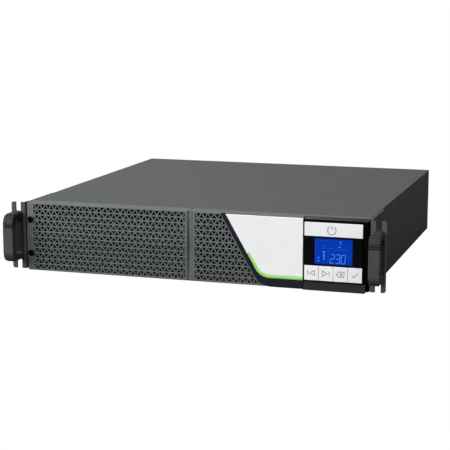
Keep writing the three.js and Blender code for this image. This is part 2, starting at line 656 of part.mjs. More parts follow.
// Links join the tabs end to end along each column, then across the aisle at the back.
function rowLink(x0) {
  const joint = TRAY_FRONT_Y + SHEET + 1.5 + BLOCK_LENGTH;
  return box(x0, x0 + LINK_THICK, joint - TAB_INSET - 4, joint + TAB_INSET + 5.5, ...LINK_Z);
}

function crossLink() {
  const y = TRAY_FRONT_Y + SHEET + 3 + 2 * BLOCK_LENGTH - TAB_INSET;
  return box(AISLE_LEFT_X + TAB + GAP, AISLE_RIGHT_X - TAB - GAP, y - 4, y + 4, ...LINK_Z);
}

function batterySocket() {
  const shell = box(PLUG_X - PLUG_HALF - 6, PLUG_X + PLUG_HALF + 6, PLUG_Y[0] + 7, PLUG_Y[1] + 9,
    SHEET + GAP, PLUG_Z[1] + 4);
  const mouth = box(PLUG_X - PLUG_HALF - 0.6, PLUG_X + PLUG_HALF + 0.6, PLUG_Y[0], PLUG_Y[1] + 0.6,
    PLUG_Z[0] - 0.6, PLUG_Z[1] + 0.6);
  return cut(shell, mouth);
}

add('battery_tray', batteryTray(), BLACK_STEEL);
for (const column of [0, 1]) {
  for (const row of [0, 1]) {
    add(`battery_block_${2 * column + row + 1}`, batteryBlock(column, row), BATTERY_CASE);
  }
}
add('battery_link_left', rowLink(AISLE_LEFT_X + TAB + GAP), COPPER);
add('battery_link_right', rowLink(AISLE_RIGHT_X - TAB - GAP - LINK_THICK), COPPER);
add('battery_link_cross', crossLink(), COPPER);
add('battery_plug', box(PLUG_X - PLUG_HALF, PLUG_X + PLUG_HALF, ...PLUG_Y, ...PLUG_Z), BLACK_PLASTIC);
add('battery_socket', batterySocket(), BLACK_PLASTIC);

// ---------------------------------------------------------------- power electronics

const PART_LOW_Z = BOARD_TOP_Z + GAP;

function heatsink(x0, y0, y1, fins, height) {
  const pitch = 6;
  const thick = 1.6;
  const width = (fins - 1) * pitch + thick;
  const pieces = [box(x0, x0 + width, y0, y1, PART_LOW_Z, PART_LOW_Z + 5)];
  for (let i = 0; i < fins; i += 1) {
    pieces.push(box(x0 + i * pitch, x0 + i * pitch + thick, y0, y1, PART_LOW_Z + 2, PART_LOW_Z + height));
  }
  return join(...pieces);
}

function transformerCore() {
  const core = box(88, 148, -107, -83, PART_LOW_Z, 62);
  return cut(core, box(96, 110, -120, -70, 20, 52), box(126, 140, -120, -70, 20, 52));
}

function transformerWinding() {
  return cut(box(97, 139, -118, -72, 21, 51), box(109.5, 126.5, -107.5, -82.5, 0, 80));
}

function filterChoke() {
  return new THREE.TorusGeometry(17, 7, 12, 32).translate(112, -35, PART_LOW_Z + 7);
}

add('main_board', box(...BOARD_X, ...BOARD_Y, BOARD_Z, BOARD_TOP_Z), CIRCUIT_GREEN);
add('control_board', box(206, 206 + BOARD_THICK, -100, 150, 12, 74), CIRCUIT_GREEN);
add('inverter_heatsink', heatsink(24, -120, 40, 9, 56), ALUMINIUM);
add('charger_heatsink', heatsink(150, -60, 100, 8, 50), ALUMINIUM);
add('transformer_core', transformerCore(), FERRITE);
add('transformer_winding', transformerWinding(), COPPER);
add('filter_choke', join(filterChoke()), COPPER);
for (const [i, y] of [15, 55, 95].entries()) {
  add(`bulk_capacitor_${i + 1}`, rodZ(112, y, 16, PART_LOW_Z, PART_LOW_Z + 48), BLACK_PLASTIC);
}
add('emi_filter', box(14, 52, 150, 196, PART_LOW_Z + 30, PART_LOW_Z + 66), ALUMINIUM);

// ---------------------------------------------------------------- rear face

const PANEL_BACK_Y = REAR_Y - SHEET;
const FLANGE_Y = REAR_Y + GAP;
const FAN_X = 104;
const FAN_Z = 44;
const FAN_HALF = 40;
const FAN_DEPTH = 25;
const FAN_BORE_R = 38;
const FAN_Y = PANEL_BACK_Y - GAP - FAN_DEPTH;
const INLET_X = 31;
const INLET_Z = 62;
const INLET_SIZE = [24, 16];
const BREAKER_Z = 26;
const BREAKER_R = 9;
const BUTTON_R = 4.3;
const OUTLET_BANKS = { left: -42, right: -112 };
const OUTLET_Z = 44;
const BANK_HALF = 32;
const OUTLET_STEP = 15.5;
const OUTLET_SIZE = [25, 19];
const OUTLET_DEPTH = 10;
const SLOT_X = [149, 211];
const SLOT_Z = [46, 80];
const USB_X = 160;
const SERIAL_X = 188;
const PORT_Z = 22;
const LINK_PORT_X = -180;
const LINK_PORT_Z = 48;
const STUD_X = -205;
const STUD_Z = 16;
const STUD_R = 3;

function aroundCentre(x, z, halfX, halfZ, y0, y1) {
  return box(x - halfX, x + halfX, y0, y1, z - halfZ, z + halfZ);
}

function rearPanel() {
  const lipClear = INNER_X - SHEET - 2 * GAP;
  const through = [REAR_Y - OVERRUN, REAR_Y + OVERRUN];
  const plate = box(-lipClear, lipClear, PANEL_BACK_Y, REAR_Y, SHEET + GAP, COVER_BOTTOM_Z - GAP);
  const holes = [
    rodY(FAN_X, FAN_Z, FAN_BORE_R - 1, ...through, 48),
    aroundCentre(INLET_X, INLET_Z, 14.3, 10.3, ...through),
    rodY(INLET_X, BREAKER_Z, BREAKER_R - 1, ...through),
    box(SLOT_X[0] + 4, SLOT_X[1] - 4, ...through, SLOT_Z[0] + 4, SLOT_Z[1] - 4),
    aroundCentre(USB_X, PORT_Z, 6.5, 6, ...through),
    aroundCentre(SERIAL_X, PORT_Z, 10.5, 5.5, ...through),
    aroundCentre(LINK_PORT_X, LINK_PORT_Z, 25.3, 14.3, ...through),
    rodY(STUD_X, STUD_Z, STUD_R + GAP, ...through, 16),
  ];
  for (const x of Object.values(OUTLET_BANKS)) {
    holes.push(aroundCentre(x, OUTLET_Z, BANK_HALF - 3, BANK_HALF - 3, ...through));
  }
  return cut(plate, ...holes);
}

function fanFrame() {
  const back = FAN_Y + FAN_DEPTH;
  const shell = cut(aroundCentre(FAN_X, FAN_Z, FAN_HALF, FAN_HALF, FAN_Y, back),
    rodY(FAN_X, FAN_Z, FAN_BORE_R, FAN_Y - 1, back + 1, 40));
  const motorMount = rodY(FAN_X, FAN_Z, 15, back - 3, back, 24);
  const struts = [box(-FAN_BORE_R - 1, FAN_BORE_R + 1, back - 3, back, -1.5, 1.5),
    box(-1.5, 1.5, back - 3, back, -FAN_BORE_R - 1, FAN_BORE_R + 1)].map((g) => g.translate(FAN_X, 0, FAN_Z));
  return join(shell, motorMount, ...struts);
}

function fanRotor() {
  const blades = 7;
  const hubY = [FAN_Y + 2, FAN_Y + FAN_DEPTH - 4];
  const middle = (hubY[0] + hubY[1]) / 2;
  const pieces = [new THREE.CylinderGeometry(16, 16, hubY[1] - hubY[0], 28)];
  for (let i = 0; i < blades; i += 1) {
    const blade = new THREE.BoxGeometry(22, 1.6, 17).rotateX(Math.PI / 4.5).translate(25.4, 0, 0);
    pieces.push(blade.rotateY((i / blades) * 2 * Math.PI));
  }
  return join(...pieces).translate(FAN_X, middle, FAN_Z);
}

function ring(outer, inner, y0, y1) {
  return cut(rodY(0, 0, outer, y0, y1, 40), rodY(0, 0, inner, y0 - 1, y1 + 1, 40));
}

function fanGuard() {
  const thick = 1.8;
  const face = [FLANGE_Y, FLANGE_Y + thick];
  const rings = [9, 17, 25, 33].map((r) => ring(r + 1, r - 1, ...face));
  const reach = FAN_HALF * 1.3;
  const arm = new THREE.BoxGeometry(2 * reach, thick, 2.6).translate(0, FLANGE_Y + thick / 2, 0);
  const arms = [arm.clone().rotateY(Math.PI / 4), arm.clone().rotateY(-Math.PI / 4)];
  return join(...rings, ...arms).translate(FAN_X, 0, FAN_Z);
}

function acInlet() {
  const floorY = REAR_Y - 17;
  const [width, height] = INLET_SIZE;
  const body = cut(
    join(aroundCentre(INLET_X, INLET_Z, 24.5, 11.8, FLANGE_Y, FLANGE_Y + 2),
      aroundCentre(INLET_X, INLET_Z, 14, 10, floorY - 6, FLANGE_Y + 1)),
    aroundCentre(INLET_X, INLET_Z, width / 2, height / 2, floorY, FLANGE_Y + OVERRUN));
  const pins = [[-7, -2.5], [7, -2.5], [0, 2.5]].map(([dx, dz]) => aroundCentre(
    INLET_X + dx, INLET_Z + dz, 1, 2, floorY - 1, REAR_Y - 4));
  return join(body, ...pins);
}

function outletBlock(x) {
  const face = FLANGE_Y + 1.8;
  const inner = BANK_HALF - 3 - GAP;
  const block = join(aroundCentre(x, OUTLET_Z, BANK_HALF, BANK_HALF, FLANGE_Y, face),
    aroundCentre(x, OUTLET_Z, inner, inner, REAR_Y - 24, FLANGE_Y + 1));
  const [width, height] = OUTLET_SIZE;
  const hollows = [];
  for (const dx of [-OUTLET_STEP, OUTLET_STEP]) {
    for (const dz of [-OUTLET_STEP, OUTLET_STEP]) {
      const centre = [x + dx, OUTLET_Z + dz];
      hollows.push(aroundCentre(...centre, width / 2, height / 2, face - OUTLET_DEPTH, face + 1));
      for (const [slotX, slotZ] of [[-6, -1.5], [6, -1.5], [0, 3]]) {
        hollows.push(aroundCentre(centre[0] + slotX, centre[1] + slotZ, 1, 2, REAR_Y - 18, face));
      }
    }
  }
  return cut(block, ...hollows);
}

function breakerBody() {
  const inner = BREAKER_R - 1 - GAP;
  return cut(
    join(rodY(INLET_X, BREAKER_Z, BREAKER_R, FLANGE_Y, FLANGE_Y + 1.8, 28),
      rodY(INLET_X, BREAKER_Z, inner, REAR_Y - 6, FLANGE_Y + 1, 28),
      aroundCentre(INLET_X, BREAKER_Z, 8, 11, REAR_Y - 34, REAR_Y - 3)),
    rodY(INLET_X, BREAKER_Z, BUTTON_R + GAP, REAR_Y - 12, REAR_Y + OVERRUN, 20));
}

function usbPort() {
  return cut(aroundCentre(USB_X, PORT_Z, 6.2, 5.7, REAR_Y - 14, REAR_Y + 0.8),
    aroundCentre(USB_X, PORT_Z, 4.2, 3.9, REAR_Y - 2.5, REAR_Y + 1));
}

function serialPort() {
  return join(
    aroundCentre(SERIAL_X, PORT_Z, 10, 5, REAR_Y - 10, FLANGE_Y + 1),
    aroundCentre(SERIAL_X, PORT_Z, 15.4, 6.2, FLANGE_Y, FLANGE_Y + 1),
    aroundCentre(SERIAL_X, PORT_Z, 8.4, 4, FLANGE_Y, FLANGE_Y + 6));
}

function externalBatteryConnector() {
  const face = REAR_LIMIT_Y - 1;
  return cut(
    join(aroundCentre(LINK_PORT_X, LINK_PORT_Z, 29, 17, FLANGE_Y, FLANGE_Y + 1.5),
      aroundCentre(LINK_PORT_X, LINK_PORT_Z, 25, 14, REAR_Y - 18, face)),
    aroundCentre(LINK_PORT_X - 11.5, LINK_PORT_Z, 9, 9, face - 16, face + 1),
    aroundCentre(LINK_PORT_X + 11.5, LINK_PORT_Z, 9, 9, face - 16, face + 1));
}

function groundStud() {
  return join(rodY(STUD_X, STUD_Z, STUD_R, REAR_Y - 8, REAR_LIMIT_Y, 16),
    rodY(STUD_X, STUD_Z, 5.6, FLANGE_Y, FLANGE_Y + 5, 6));
}

add('rear_panel', rearPanel(), BLACK_STEEL);
add('fan_frame', fanFrame(), BLACK_PLASTIC);
add('fan_rotor', fanRotor(), BLACK_PLASTIC);
add('fan_guard', fanGuard(), ZINC_STEEL);
add('ac_inlet', acInlet(), BLACK_PLASTIC);
for (const [side, x] of Object.entries(OUTLET_BANKS)) {
  add(`outlet_block_${side}`, outletBlock(x), BLACK_PLASTIC);
}
add('breaker_body', breakerBody(), BLACK_PLASTIC);
add('breaker_button', rodY(INLET_X, BREAKER_Z, BUTTON_R, REAR_Y - 11, FLANGE_Y + 3.3, 20), GLOSS_BLACK);
add('network_slot_cover', box(...SLOT_X, FLANGE_Y, FLANGE_Y + SHEET, ...SLOT_Z), BLACK_STEEL);
add('usb_port', usbPort(), ZINC_STEEL);
add('serial_port', serialPort(), ZINC_STEEL);
add('external_battery_connector', externalBatteryConnector(), GREY_PLASTIC);
add('ground_stud', groundStud(), BRASS);

export default ups;
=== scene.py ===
"""Looks for the two-unit rack-mount uninterruptible power supply.

Shapes are drawn in millimetres and scaled to metres when they become objects.
"""
import math

import bmesh
import bpy
from mathutils import Matrix, Vector


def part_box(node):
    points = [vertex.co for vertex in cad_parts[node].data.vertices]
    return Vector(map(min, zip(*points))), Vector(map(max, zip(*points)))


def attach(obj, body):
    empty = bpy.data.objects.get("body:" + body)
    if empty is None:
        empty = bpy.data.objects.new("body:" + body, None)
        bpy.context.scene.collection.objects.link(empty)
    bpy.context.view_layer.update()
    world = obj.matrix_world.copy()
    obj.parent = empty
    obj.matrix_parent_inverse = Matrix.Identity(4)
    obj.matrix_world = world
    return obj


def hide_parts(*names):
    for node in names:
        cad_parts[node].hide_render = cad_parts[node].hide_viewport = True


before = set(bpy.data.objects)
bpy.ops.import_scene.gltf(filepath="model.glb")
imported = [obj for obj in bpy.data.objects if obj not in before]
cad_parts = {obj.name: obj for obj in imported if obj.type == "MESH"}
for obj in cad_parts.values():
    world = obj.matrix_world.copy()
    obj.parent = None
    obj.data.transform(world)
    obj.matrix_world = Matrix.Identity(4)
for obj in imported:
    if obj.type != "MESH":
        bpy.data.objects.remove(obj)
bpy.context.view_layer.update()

UNIT = 0.001
SHARP = math.radians(32)
WELD_DISTANCE = 1e-6
NEAR = 0.05
OVERRUN = 5.0
INK_DEPTH = 0.05
MITRE_LIMIT = 1.5
scene = bpy.context.scene


def span(node):
    """A CAD node's lowest and highest corners, in millimetres."""
    low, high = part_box(node)
    return Vector(low) / UNIT, Vector(high) / UNIT


# ----------- sizes read from the frame

PANEL_LOW, PANEL_HIGH = span("battery_panel")
BEZEL_LOW, BEZEL_HIGH = span("front_bezel")
COVER_LOW, COVER_HIGH = span("white_cover")
GREEN_LOW, GREEN_HIGH = span("green_strip")
SURROUND_LOW, SURROUND_HIGH = span("accent_surround")
FRAME_LOW, FRAME_HIGH = span("display_frame")
HOUSING_LOW, HOUSING_HIGH = span("display_housing")
WINDOW_LOW, WINDOW_HIGH = span("display_window")
LCD_LOW, LCD_HIGH = span("lcd_panel")

FRONT_Y = COVER_LOW.y
BEZEL_BACK_Y = BEZEL_HIGH.y
RIDGE_Z = (PANEL_LOW.z + PANEL_HIGH.z) / 2
RIDGE_FALL = 2.5
RIDGE_WALL = 1.1
SHELL = 2.2
BACK_WALL = 2.4
EDGE_FILLET = 0.7
END_FILLET = 1.8
GROOVE_RIGHT_X = 3.8
GROOVE_LOW_Z = 10.0
GROOVE_DEPTH = 3.4
SLANT = math.radians(30)
COVER_FILLET = 20.0
SURROUND_BORDER = 5.5
GREEN_WIDTH = 3.4
GREEN_SPLIT = 2.3
GREEN_TOP_Z = 39.0
GAP = 0.3
TRIM_SEAT_Y = COVER_HIGH.y + GAP
DISPLAY_X = (HOUSING_LOW.x + HOUSING_HIGH.x) / 2
DISPLAY_Z = (HOUSING_LOW.z + HOUSING_HIGH.z) / 2
POCKET_HALF = 33.6
SCREW_X = (span("panel_screw_upper")[0].x + span("panel_screw_upper")[1].x) / 2
SCREW_ZS = [(span(node)[0].z + span(node)[1].z) / 2 for node in ("panel_screw_upper", "panel_screw_lower")]

# Ventilation pattern: alternating triangles in twelve rows.
PITCH = 8.1
ROWS = 12
BAR = 1.75
ROW_HEIGHT = PITCH * math.sin(math.pi / 3)
HOLE_FLARE = 0.6
HOLE_CHAMFER = 0.38
HOLE_DEPTH = 3.6
HOLE_LEAD = 1.5
LEFT_MESH_X = -210.5
LEFT_MESH_COLUMNS = 25
RIGHT_MESH_X = 5.4
RIGHT_MESH_CELLS = 19


# Screw bores of the battery panel.
BORE_RADIUS = 4.1
BORE_BREAK = 0.15
BORE_FLOOR_Y = FRONT_Y + 6
BOSS_RADIUS = 4.9
BOSS_FRONT_Y = FRONT_Y + 2.6
SCREW_HOLE_RADIUS = 2.1
# Wall of the near-black sleeve that lines each bore as painted shade.
BORE_SHADE_WALL = 0.35


# ----------- solids

def bridge(solid, a, b):
    """Faces between two rings of vertices. Either of them may be a single point."""
    count = max(len(a), len(b))
    for i in range(count):
        j = (i + 1) % count
        corners = (a[i % len(a)], a[j % len(a)], b[j % len(b)], b[i % len(b)])
        solid.faces.new(list(dict.fromkeys(corners)))


def sealed(solid):
    """The same solid with all its faces turned outwards."""
    bmesh.ops.recalc_face_normals(solid, faces=solid.faces)
    return solid


def prism(points, axis, start, end):
    """Fills an outline, drawn in the two other axes, from start to end along an axis."""
    def place(u, v, w):
        return {"X": (w, u, v), "Y": (u, w, v), "Z": (u, v, w)}[axis]
    solid = bmesh.new()
    first, last = ([solid.verts.new(place(u, v, w)) for u, v in points] for w in (start, end))
    solid.faces.new(first)
    solid.faces.new(last[::-1])
    bridge(solid, last, first)
    return sealed(solid)


def slab(x0, x1, y0, y1, z0, z1):
    return prism([(x0, z0), (x1, z0), (x1, z1), (x0, z1)], "Y", y0, y1)


def block(x, z, half_x, half_z, y0, y1):
    """A slab centred on (x, z)."""
    return slab(x - half_x, x + half_x, y0, y1, z - half_z, z + half_z)


def between(low, high):
    """A slab from one corner to the opposite one."""
    return slab(low.x, high.x, low.y, high.y, low.z, high.z)


def circle(u, v, radius, sides=32):
    turn = 2 * math.pi / sides
    return [(u + radius * math.cos(i * turn), v + radius * math.sin(i * turn)) for i in range(sides)]


def rod(axis, u, v, radius, start, end, sides=32):
    return prism(circle(u, v, radius, sides), axis, start, end)


def arc(u, v, radius, start, end, steps=8):
    """Points on an arc, angles in degrees."""
    angles = [math.radians(start + (end - start) * i / steps) for i in range(steps + 1)]
    return [(u + radius * math.cos(a), v + radius * math.sin(a)) for a in angles]


def rounded_rectangle(u0, u1, v0, v1, radius, steps=5):
    corners = ((u1 - radius, v1 - radius, 0), (u0 + radius, v1 - radius, 90),
               (u0 + radius, v0 + radius, 180), (u1 - radius, v0 + radius, 270))
    return [p for u, v, start in corners for p in arc(u, v, radius, start, start + 90, steps)]


def rounded(solid, width, segments=3, where=None):
    """Bevels the sharp edges, or those that where() picks by their middle point."""
    edges = []
    for edge in solid.edges:
        if len(edge.link_faces) == 2 and edge.calc_face_angle(0) > SHARP:
            middle = (edge.verts[0].co + edge.verts[1].co) / 2
            if where is None or where(middle):
                edges.append(edge)
    bmesh.ops.bevel(solid, geom=edges, offset=width, segments=segments, profile=0.5,
                    affect="EDGES", clamp_overlap=True)
    return solid


def baked(solid, name="part"):
    """A mesh made from a solid, which is used up."""
    mesh = bpy.data.meshes.new(name)
    solid.to_mesh(mesh)
    solid.free()
    return mesh


def merged(*solids):
    """One mesh holding several solids."""
    whole = bmesh.new()
    for solid in solids:
        mesh = baked(solid)
        whole.from_mesh(mesh)
        bpy.data.meshes.remove(mesh)
    return whole


def combine(body, tool, operation="DIFFERENCE"):
    """Cuts, joins or intersects two closed meshes."""
    holders = []
    for solid in (body, tool):
        holder = bpy.data.objects.new("operand", baked(solid))
        scene.collection.objects.link(holder)
        holders.append(holder)
    modifier = holders[0].modifiers.new("operation", "BOOLEAN")
    modifier.object = holders[1]
    modifier.operation = operation
    modifier.solver = "MANIFOLD"
    evaluated = holders[0].evaluated_get(bpy.context.evaluated_depsgraph_get())
    mesh = bpy.data.meshes.new_from_object(evaluated)
    result = bmesh.new()
    result.from_mesh(mesh)
    bpy.data.meshes.remove(mesh)
    for holder in holders:
        bpy.data.meshes.remove(holder.data)
    return result


def cut(body, *tools):
    for tool in tools:
        body = combine(body, tool)
    return body


def join(body, *others):
    for other in others:
        body = combine(body, other, "UNION")
    return body


def moved(solid, x=0.0, y=0.0, z=0.0):
    bmesh.ops.translate(solid, vec=(x, y, z), verts=solid.verts)
    return solid


def turned(solid, axis, degrees):
    turn = Matrix.Rotation(math.radians(degrees), 3, axis)
    bmesh.ops.rotate(solid, cent=(0, 0, 0), matrix=turn, verts=solid.verts)
    return solid


def mirrored(solid):
    bmesh.ops.scale(solid, vec=(-1, 1, 1), verts=solid.verts)
    bmesh.ops.reverse_faces(solid, faces=solid.faces)
    return solid


def turned_at(solid, x, z, degrees):
    """A solid drawn about the Y axis, turned and carried to (x, z)."""
    return moved(turned(solid, "Y", degrees), x, 0, z)


def spun(profile, axis_u, axis_v, sides=32, base=0.0):
    """Turns a profile of (radius, y above a base) points, which starts and ends on a line along Y."""
    solid = bmesh.new()
    rings = []
    for radius, y in profile:
        outline = circle(axis_u, axis_v, radius, sides) if radius else [(axis_u, axis_v)]
        rings.append([solid.verts.new((u, base + y, v)) for u, v in outline])
    for a, b in zip(rings, rings[1:]):
        bridge(solid, a, b)
    return sealed(solid)


def neighbours(points, closed):
    """Each point between the ones before and after it. An open end is its own neighbour."""
    before = [points[-1 if closed else 0], *points[:-1]]
    after = [*points[1:], points[0 if closed else -1]]
    return zip(before, points, after)


def wire(points, radius, normal=(0, 0, 1), sides=8, closed=False):
    """A round wire through a list of points, which never runs along the normal."""
    solid = bmesh.new()
    rings = []
    for before, point, after in neighbours(points, closed):
        along = (Vector(after) - Vector(before)).normalized()
        side = along.cross(Vector(normal)).normalized()
        up = side.cross(along)
        rings.append([solid.verts.new(Vector(point) + side * u + up * v)
                      for u, v in circle(0, 0, radius, sides)])
    for a, b in zip(rings, rings[1:] + rings[:1] if closed else rings[1:]):
        bridge(solid, a, b)
    if not closed:
        solid.faces.new(rings[0][::-1])
        solid.faces.new(rings[-1])
    return sealed(solid)


def ribbon(points, width, y, closed=False):
    """Flat line art in the (X, Z) plane: a line of even width through the points."""
    left, right = [], []
    for before, (x, z), after in neighbours(points, closed):
        normals = []
        for a, b in ((before, (x, z)), ((x, z), after)):
            if a != b:
                length = math.dist(a, b)
                normals.append(((a[1] - b[1]) / length, (b[0] - a[0]) / length))
        nx = sum(n[0] for n in normals)
        nz = sum(n[1] for n in normals)
        scale = width / (nx * nx + nz * nz) if len(normals) == 2 else width / 2
        scale = min(scale, width * MITRE_LIMIT)
        left.append((x + nx * scale, z + nz * scale))
        right.append((x - nx * scale, z - nz * scale))
    if not closed:
        return prism(left + right[::-1], "Y", y - INK_DEPTH, y)
    solid = bmesh.new()
    loops = [[solid.verts.new((u, depth, v)) for u, v in loop]
             for depth in (y - INK_DEPTH, y) for loop in (left, right)]
    for a, b in ((0, 1), (1, 3), (3, 2), (2, 0)):
        bridge(solid, loops[a], loops[b])
    return sealed(solid)


# ----------- objects

def new_object(name, solid, material):
    """An object in metres, made from a solid in millimetres."""
    bmesh.ops.scale(solid, vec=(UNIT, UNIT, UNIT), verts=solid.verts)
    mesh = baked(solid, name)
    mesh.materials.append(material)
    obj = bpy.data.objects.new(name, mesh)
    scene.collection.objects.link(obj)
    return obj


def piece(name, solid, slot, material, *replaced, body="chassis", crease=None):
    """Turns a solid into an object that rides on a body and stands for the replaced CAD nodes.

    crease() picks vertices, and an edge between two of them stays sharp however slight its angle.
    """
    folds = []
    if crease:
        solid.edges.index_update()
        folds = [edge.index for edge in solid.edges if crease(edge.verts[0].co) and crease(edge.verts[1].co)]
    obj = new_object(name, solid, material)
    mesh = obj.data
    mesh.polygons.foreach_set("use_smooth", [True] * len(mesh.polygons))
    mesh.set_sharp_from_angle(angle=SHARP)
    for index in folds:
        mesh.edges[index].use_edge_sharp = True
    obj.modifiers.new("even_faces", "WEIGHTED_NORMAL").keep_sharp = True
    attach(obj, body)
    if replaced:
        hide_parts(*replaced)


def dress(node, material, bevel, segments=2):
    """Gives a CAD node its material and softens its edges."""
    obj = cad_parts[node]
    for slot in obj.material_slots:
        slot.material = material
    obj.modifiers.new("weld", "WELD").merge_threshold = WELD_DISTANCE
    edge = obj.modifiers.new("soft_edges", "BEVEL")
    edge.width = bevel * UNIT
    edge.segments = segments
    edge.limit_method = "ANGLE"
    edge.angle_limit = SHARP
    edge.harden_normals = True


# ----------- materials

def scaled(color, factor):
    return (color[0] * factor, color[1] * factor, color[2] * factor, 1.0)


class Shader:
    """A Principled material under construction, with short ways to add nodes."""

    def __init__(self, name):
        self.material = bpy.data.materials.new(name)
        self.material.use_nodes = True
        self.tree = self.material.node_tree
        self.surface = self.tree.nodes["Principled BSDF"]
        self.coordinates = self.tree.nodes.new("ShaderNodeTexCoord").outputs["Object"]

    def set(self, **values):
        for label, value in values.items():
            self.surface.inputs[label.replace("_", " ")].default_value = value

    def link(self, output, label):
        self.tree.links.new(output, self.surface.inputs[label])

    def noise(self, size, detail=2.0, stretch=(1, 1, 1)):
        """Noise with features of about this size in millimetres."""
        mapping = self.tree.nodes.new("ShaderNodeMapping")
        mapping.inputs["Scale"].default_value = [s / (size * UNIT) for s in stretch]
        texture = self.tree.nodes.new("ShaderNodeTexNoise")
        texture.inputs["Scale"].default_value = 1.0
        texture.inputs["Detail"].default_value = detail
        self.tree.links.new(self.coordinates, mapping.inputs["Vector"])
        self.tree.links.new(mapping.outputs["Vector"], texture.inputs["Vector"])
        return texture.outputs["Fac"]

    def ranged(self, value, low, high, start=0.3, end=0.7):
        node = self.tree.nodes.new("ShaderNodeMapRange")
        for label, number in (("From Min", start), ("From Max", end), ("To Min", low), ("To Max", high)):
            node.inputs[label].default_value = number
        self.tree.links.new(value, node.inputs["Value"])
        return node.outputs["Result"]

    def blend(self, factor, first, second):
        node = self.tree.nodes.new("ShaderNodeMix")
        node.data_type = "RGBA"
        self.tree.links.new(factor, node.inputs["Factor"])
        node.inputs["A"].default_value = first
        node.inputs["B"].default_value = second
        return node.outputs["Result"]

    def bump(self, height, depth):
        node = self.tree.nodes.new("ShaderNodeBump")
        node.inputs["Distance"].default_value = depth * UNIT
        self.tree.links.new(height, node.inputs["Height"])
        self.link(node.outputs["Normal"], "Normal")


def finish(name, color, roughness, metallic=0.0, mottle=0.06, patch=14.0, grain=0.0, grain_size=0.7,
           stretch=(1, 1, 1), specular=0.5, coat=0.0):
    """A painted, moulded or metal surface: slightly uneven colour and polish, and a fine grain."""
    shader = Shader(name)
    broad = shader.noise(patch, 4.0, stretch)
    tint = shader.blend(shader.ranged(broad, 0, 1), scaled(color, 1 - mottle), scaled(color, 1 + mottle))
    shader.link(tint, "Base Color")
    shader.link(shader.ranged(broad, roughness * 0.9, min(1.0, roughness * 1.1)), "Roughness")
    shader.set(Metallic=metallic, Specular_IOR_Level=specular, Coat_Weight=coat, Coat_Roughness=0.08)
    if grain:
        shader.bump(shader.noise(grain_size, 3.0, stretch), grain)
    return shader.material


def glowing(name, color, strength, patch=9.0):
    """A backlit surface, a little uneven in brightness."""
    shader = Shader(name)
    broad = shader.noise(patch, 3.0)
    shader.set(Base_Color=scaled(color, 0.3), Roughness=0.25, Specular_IOR_Level=0.12)
    tint = shader.blend(shader.ranged(broad, 0, 1), scaled(color, 0.9), scaled(color, 1.1))
    shader.link(tint, "Emission Color")
    shader.set(Emission_Strength=strength)
    return shader.material


def circuit(name):
    """Green solder mask over paler copper tracks."""
    shader = Shader(name)
    cells = shader.tree.nodes.new("ShaderNodeTexVoronoi")
    cells.distance = "CHEBYCHEV"
    cells.inputs["Scale"].default_value = 150.0
    shader.tree.links.new(shader.coordinates, cells.inputs["Vector"])
    tracks = shader.ranged(cells.outputs["Distance"], 0, 1, 0.32, 0.36)
    shader.link(shader.blend(tracks, (0.012, 0.10, 0.04, 1), (0.03, 0.19, 0.08, 1)), "Base Color")
    shader.set(Roughness=0.4)
    shader.bump(tracks, 0.05)
    return shader.material


def wound(name, color, pitch):
    """Turns of enamelled wire lying side by side, the colour painted darker in the grooves between turns and
    lighter on their crowns as painted shade and highlight.
    """
    shader = Shader(name)
    bands = shader.tree.nodes.new("ShaderNodeTexWave")
    bands.bands_direction = "Z"
    bands.inputs["Scale"].default_value = 0.314 / (pitch * UNIT)
    bands.inputs["Distortion"].default_value = 0.4
    shader.tree.links.new(shader.coordinates, bands.inputs["Vector"])
    # Colour from dark in the grooves to light on each turn's crown: painted shade and highlight.
    shader.link(shader.blend(bands.outputs["Fac"], scaled(color, 0.6), scaled(color, 1.2)), "Base Color")
    shader.set(Metallic=0.7, Roughness=0.35)
    shader.bump(bands.outputs["Fac"], 0.35)
    return shader.material


COAT = finish("powder_coat", (0.046, 0.0525, 0.050), 0.6, mottle=0.05, patch=30, grain=0.05, grain_size=0.6)
# Near-black steel: the real colour of the small rear screws, and on the walls behind the front grille a
# painted shade that makes the holes look dark.
DARK_COAT_AND_GRILLE_SHADE = finish("inner_coat_and_grille_shade", (0.016, 0.018, 0.017), 0.6, mottle=0.08, patch=20, grain=0.04)
# Ear paint close to the cover's, made a little darker as painted shade on the ears.
EAR_COAT_AND_SHADE = finish("ear_coat_and_shade", (0.044, 0.050, 0.047), 0.6, mottle=0.06, patch=16, grain=0.05, grain_size=0.6)
PANEL = finish("panel_plastic", (0.084, 0.096, 0.091), 0.55, mottle=0.07, patch=18, grain=0.03,
               grain_size=0.45)
GRIP = finish("handle_plastic", (0.040, 0.045, 0.043), 0.42, mottle=0.08, patch=9, grain=0.03, grain_size=0.4)
# Dark rubber for the upper grip, darkened further as painted shade over the ribs and the top bend.
GRIP_RUBBER_AND_SHADE = finish("grip_rubber_and_shade", (0.013, 0.015, 0.014), 0.55, mottle=0.15, patch=6, grain=0.05,
                  grain_size=0.5, specular=0.3)
BLACK = finish("black_plastic", (0.007, 0.0072, 0.0076), 0.42, mottle=0.1, grain=0.015, grain_size=0.4,
               specular=0.3)
FRAME_BLACK = finish("frame_plastic", (0.002, 0.0018, 0.002), 0.3, mottle=0.1, grain=0.01, grain_size=0.4,
                     specular=0.11)
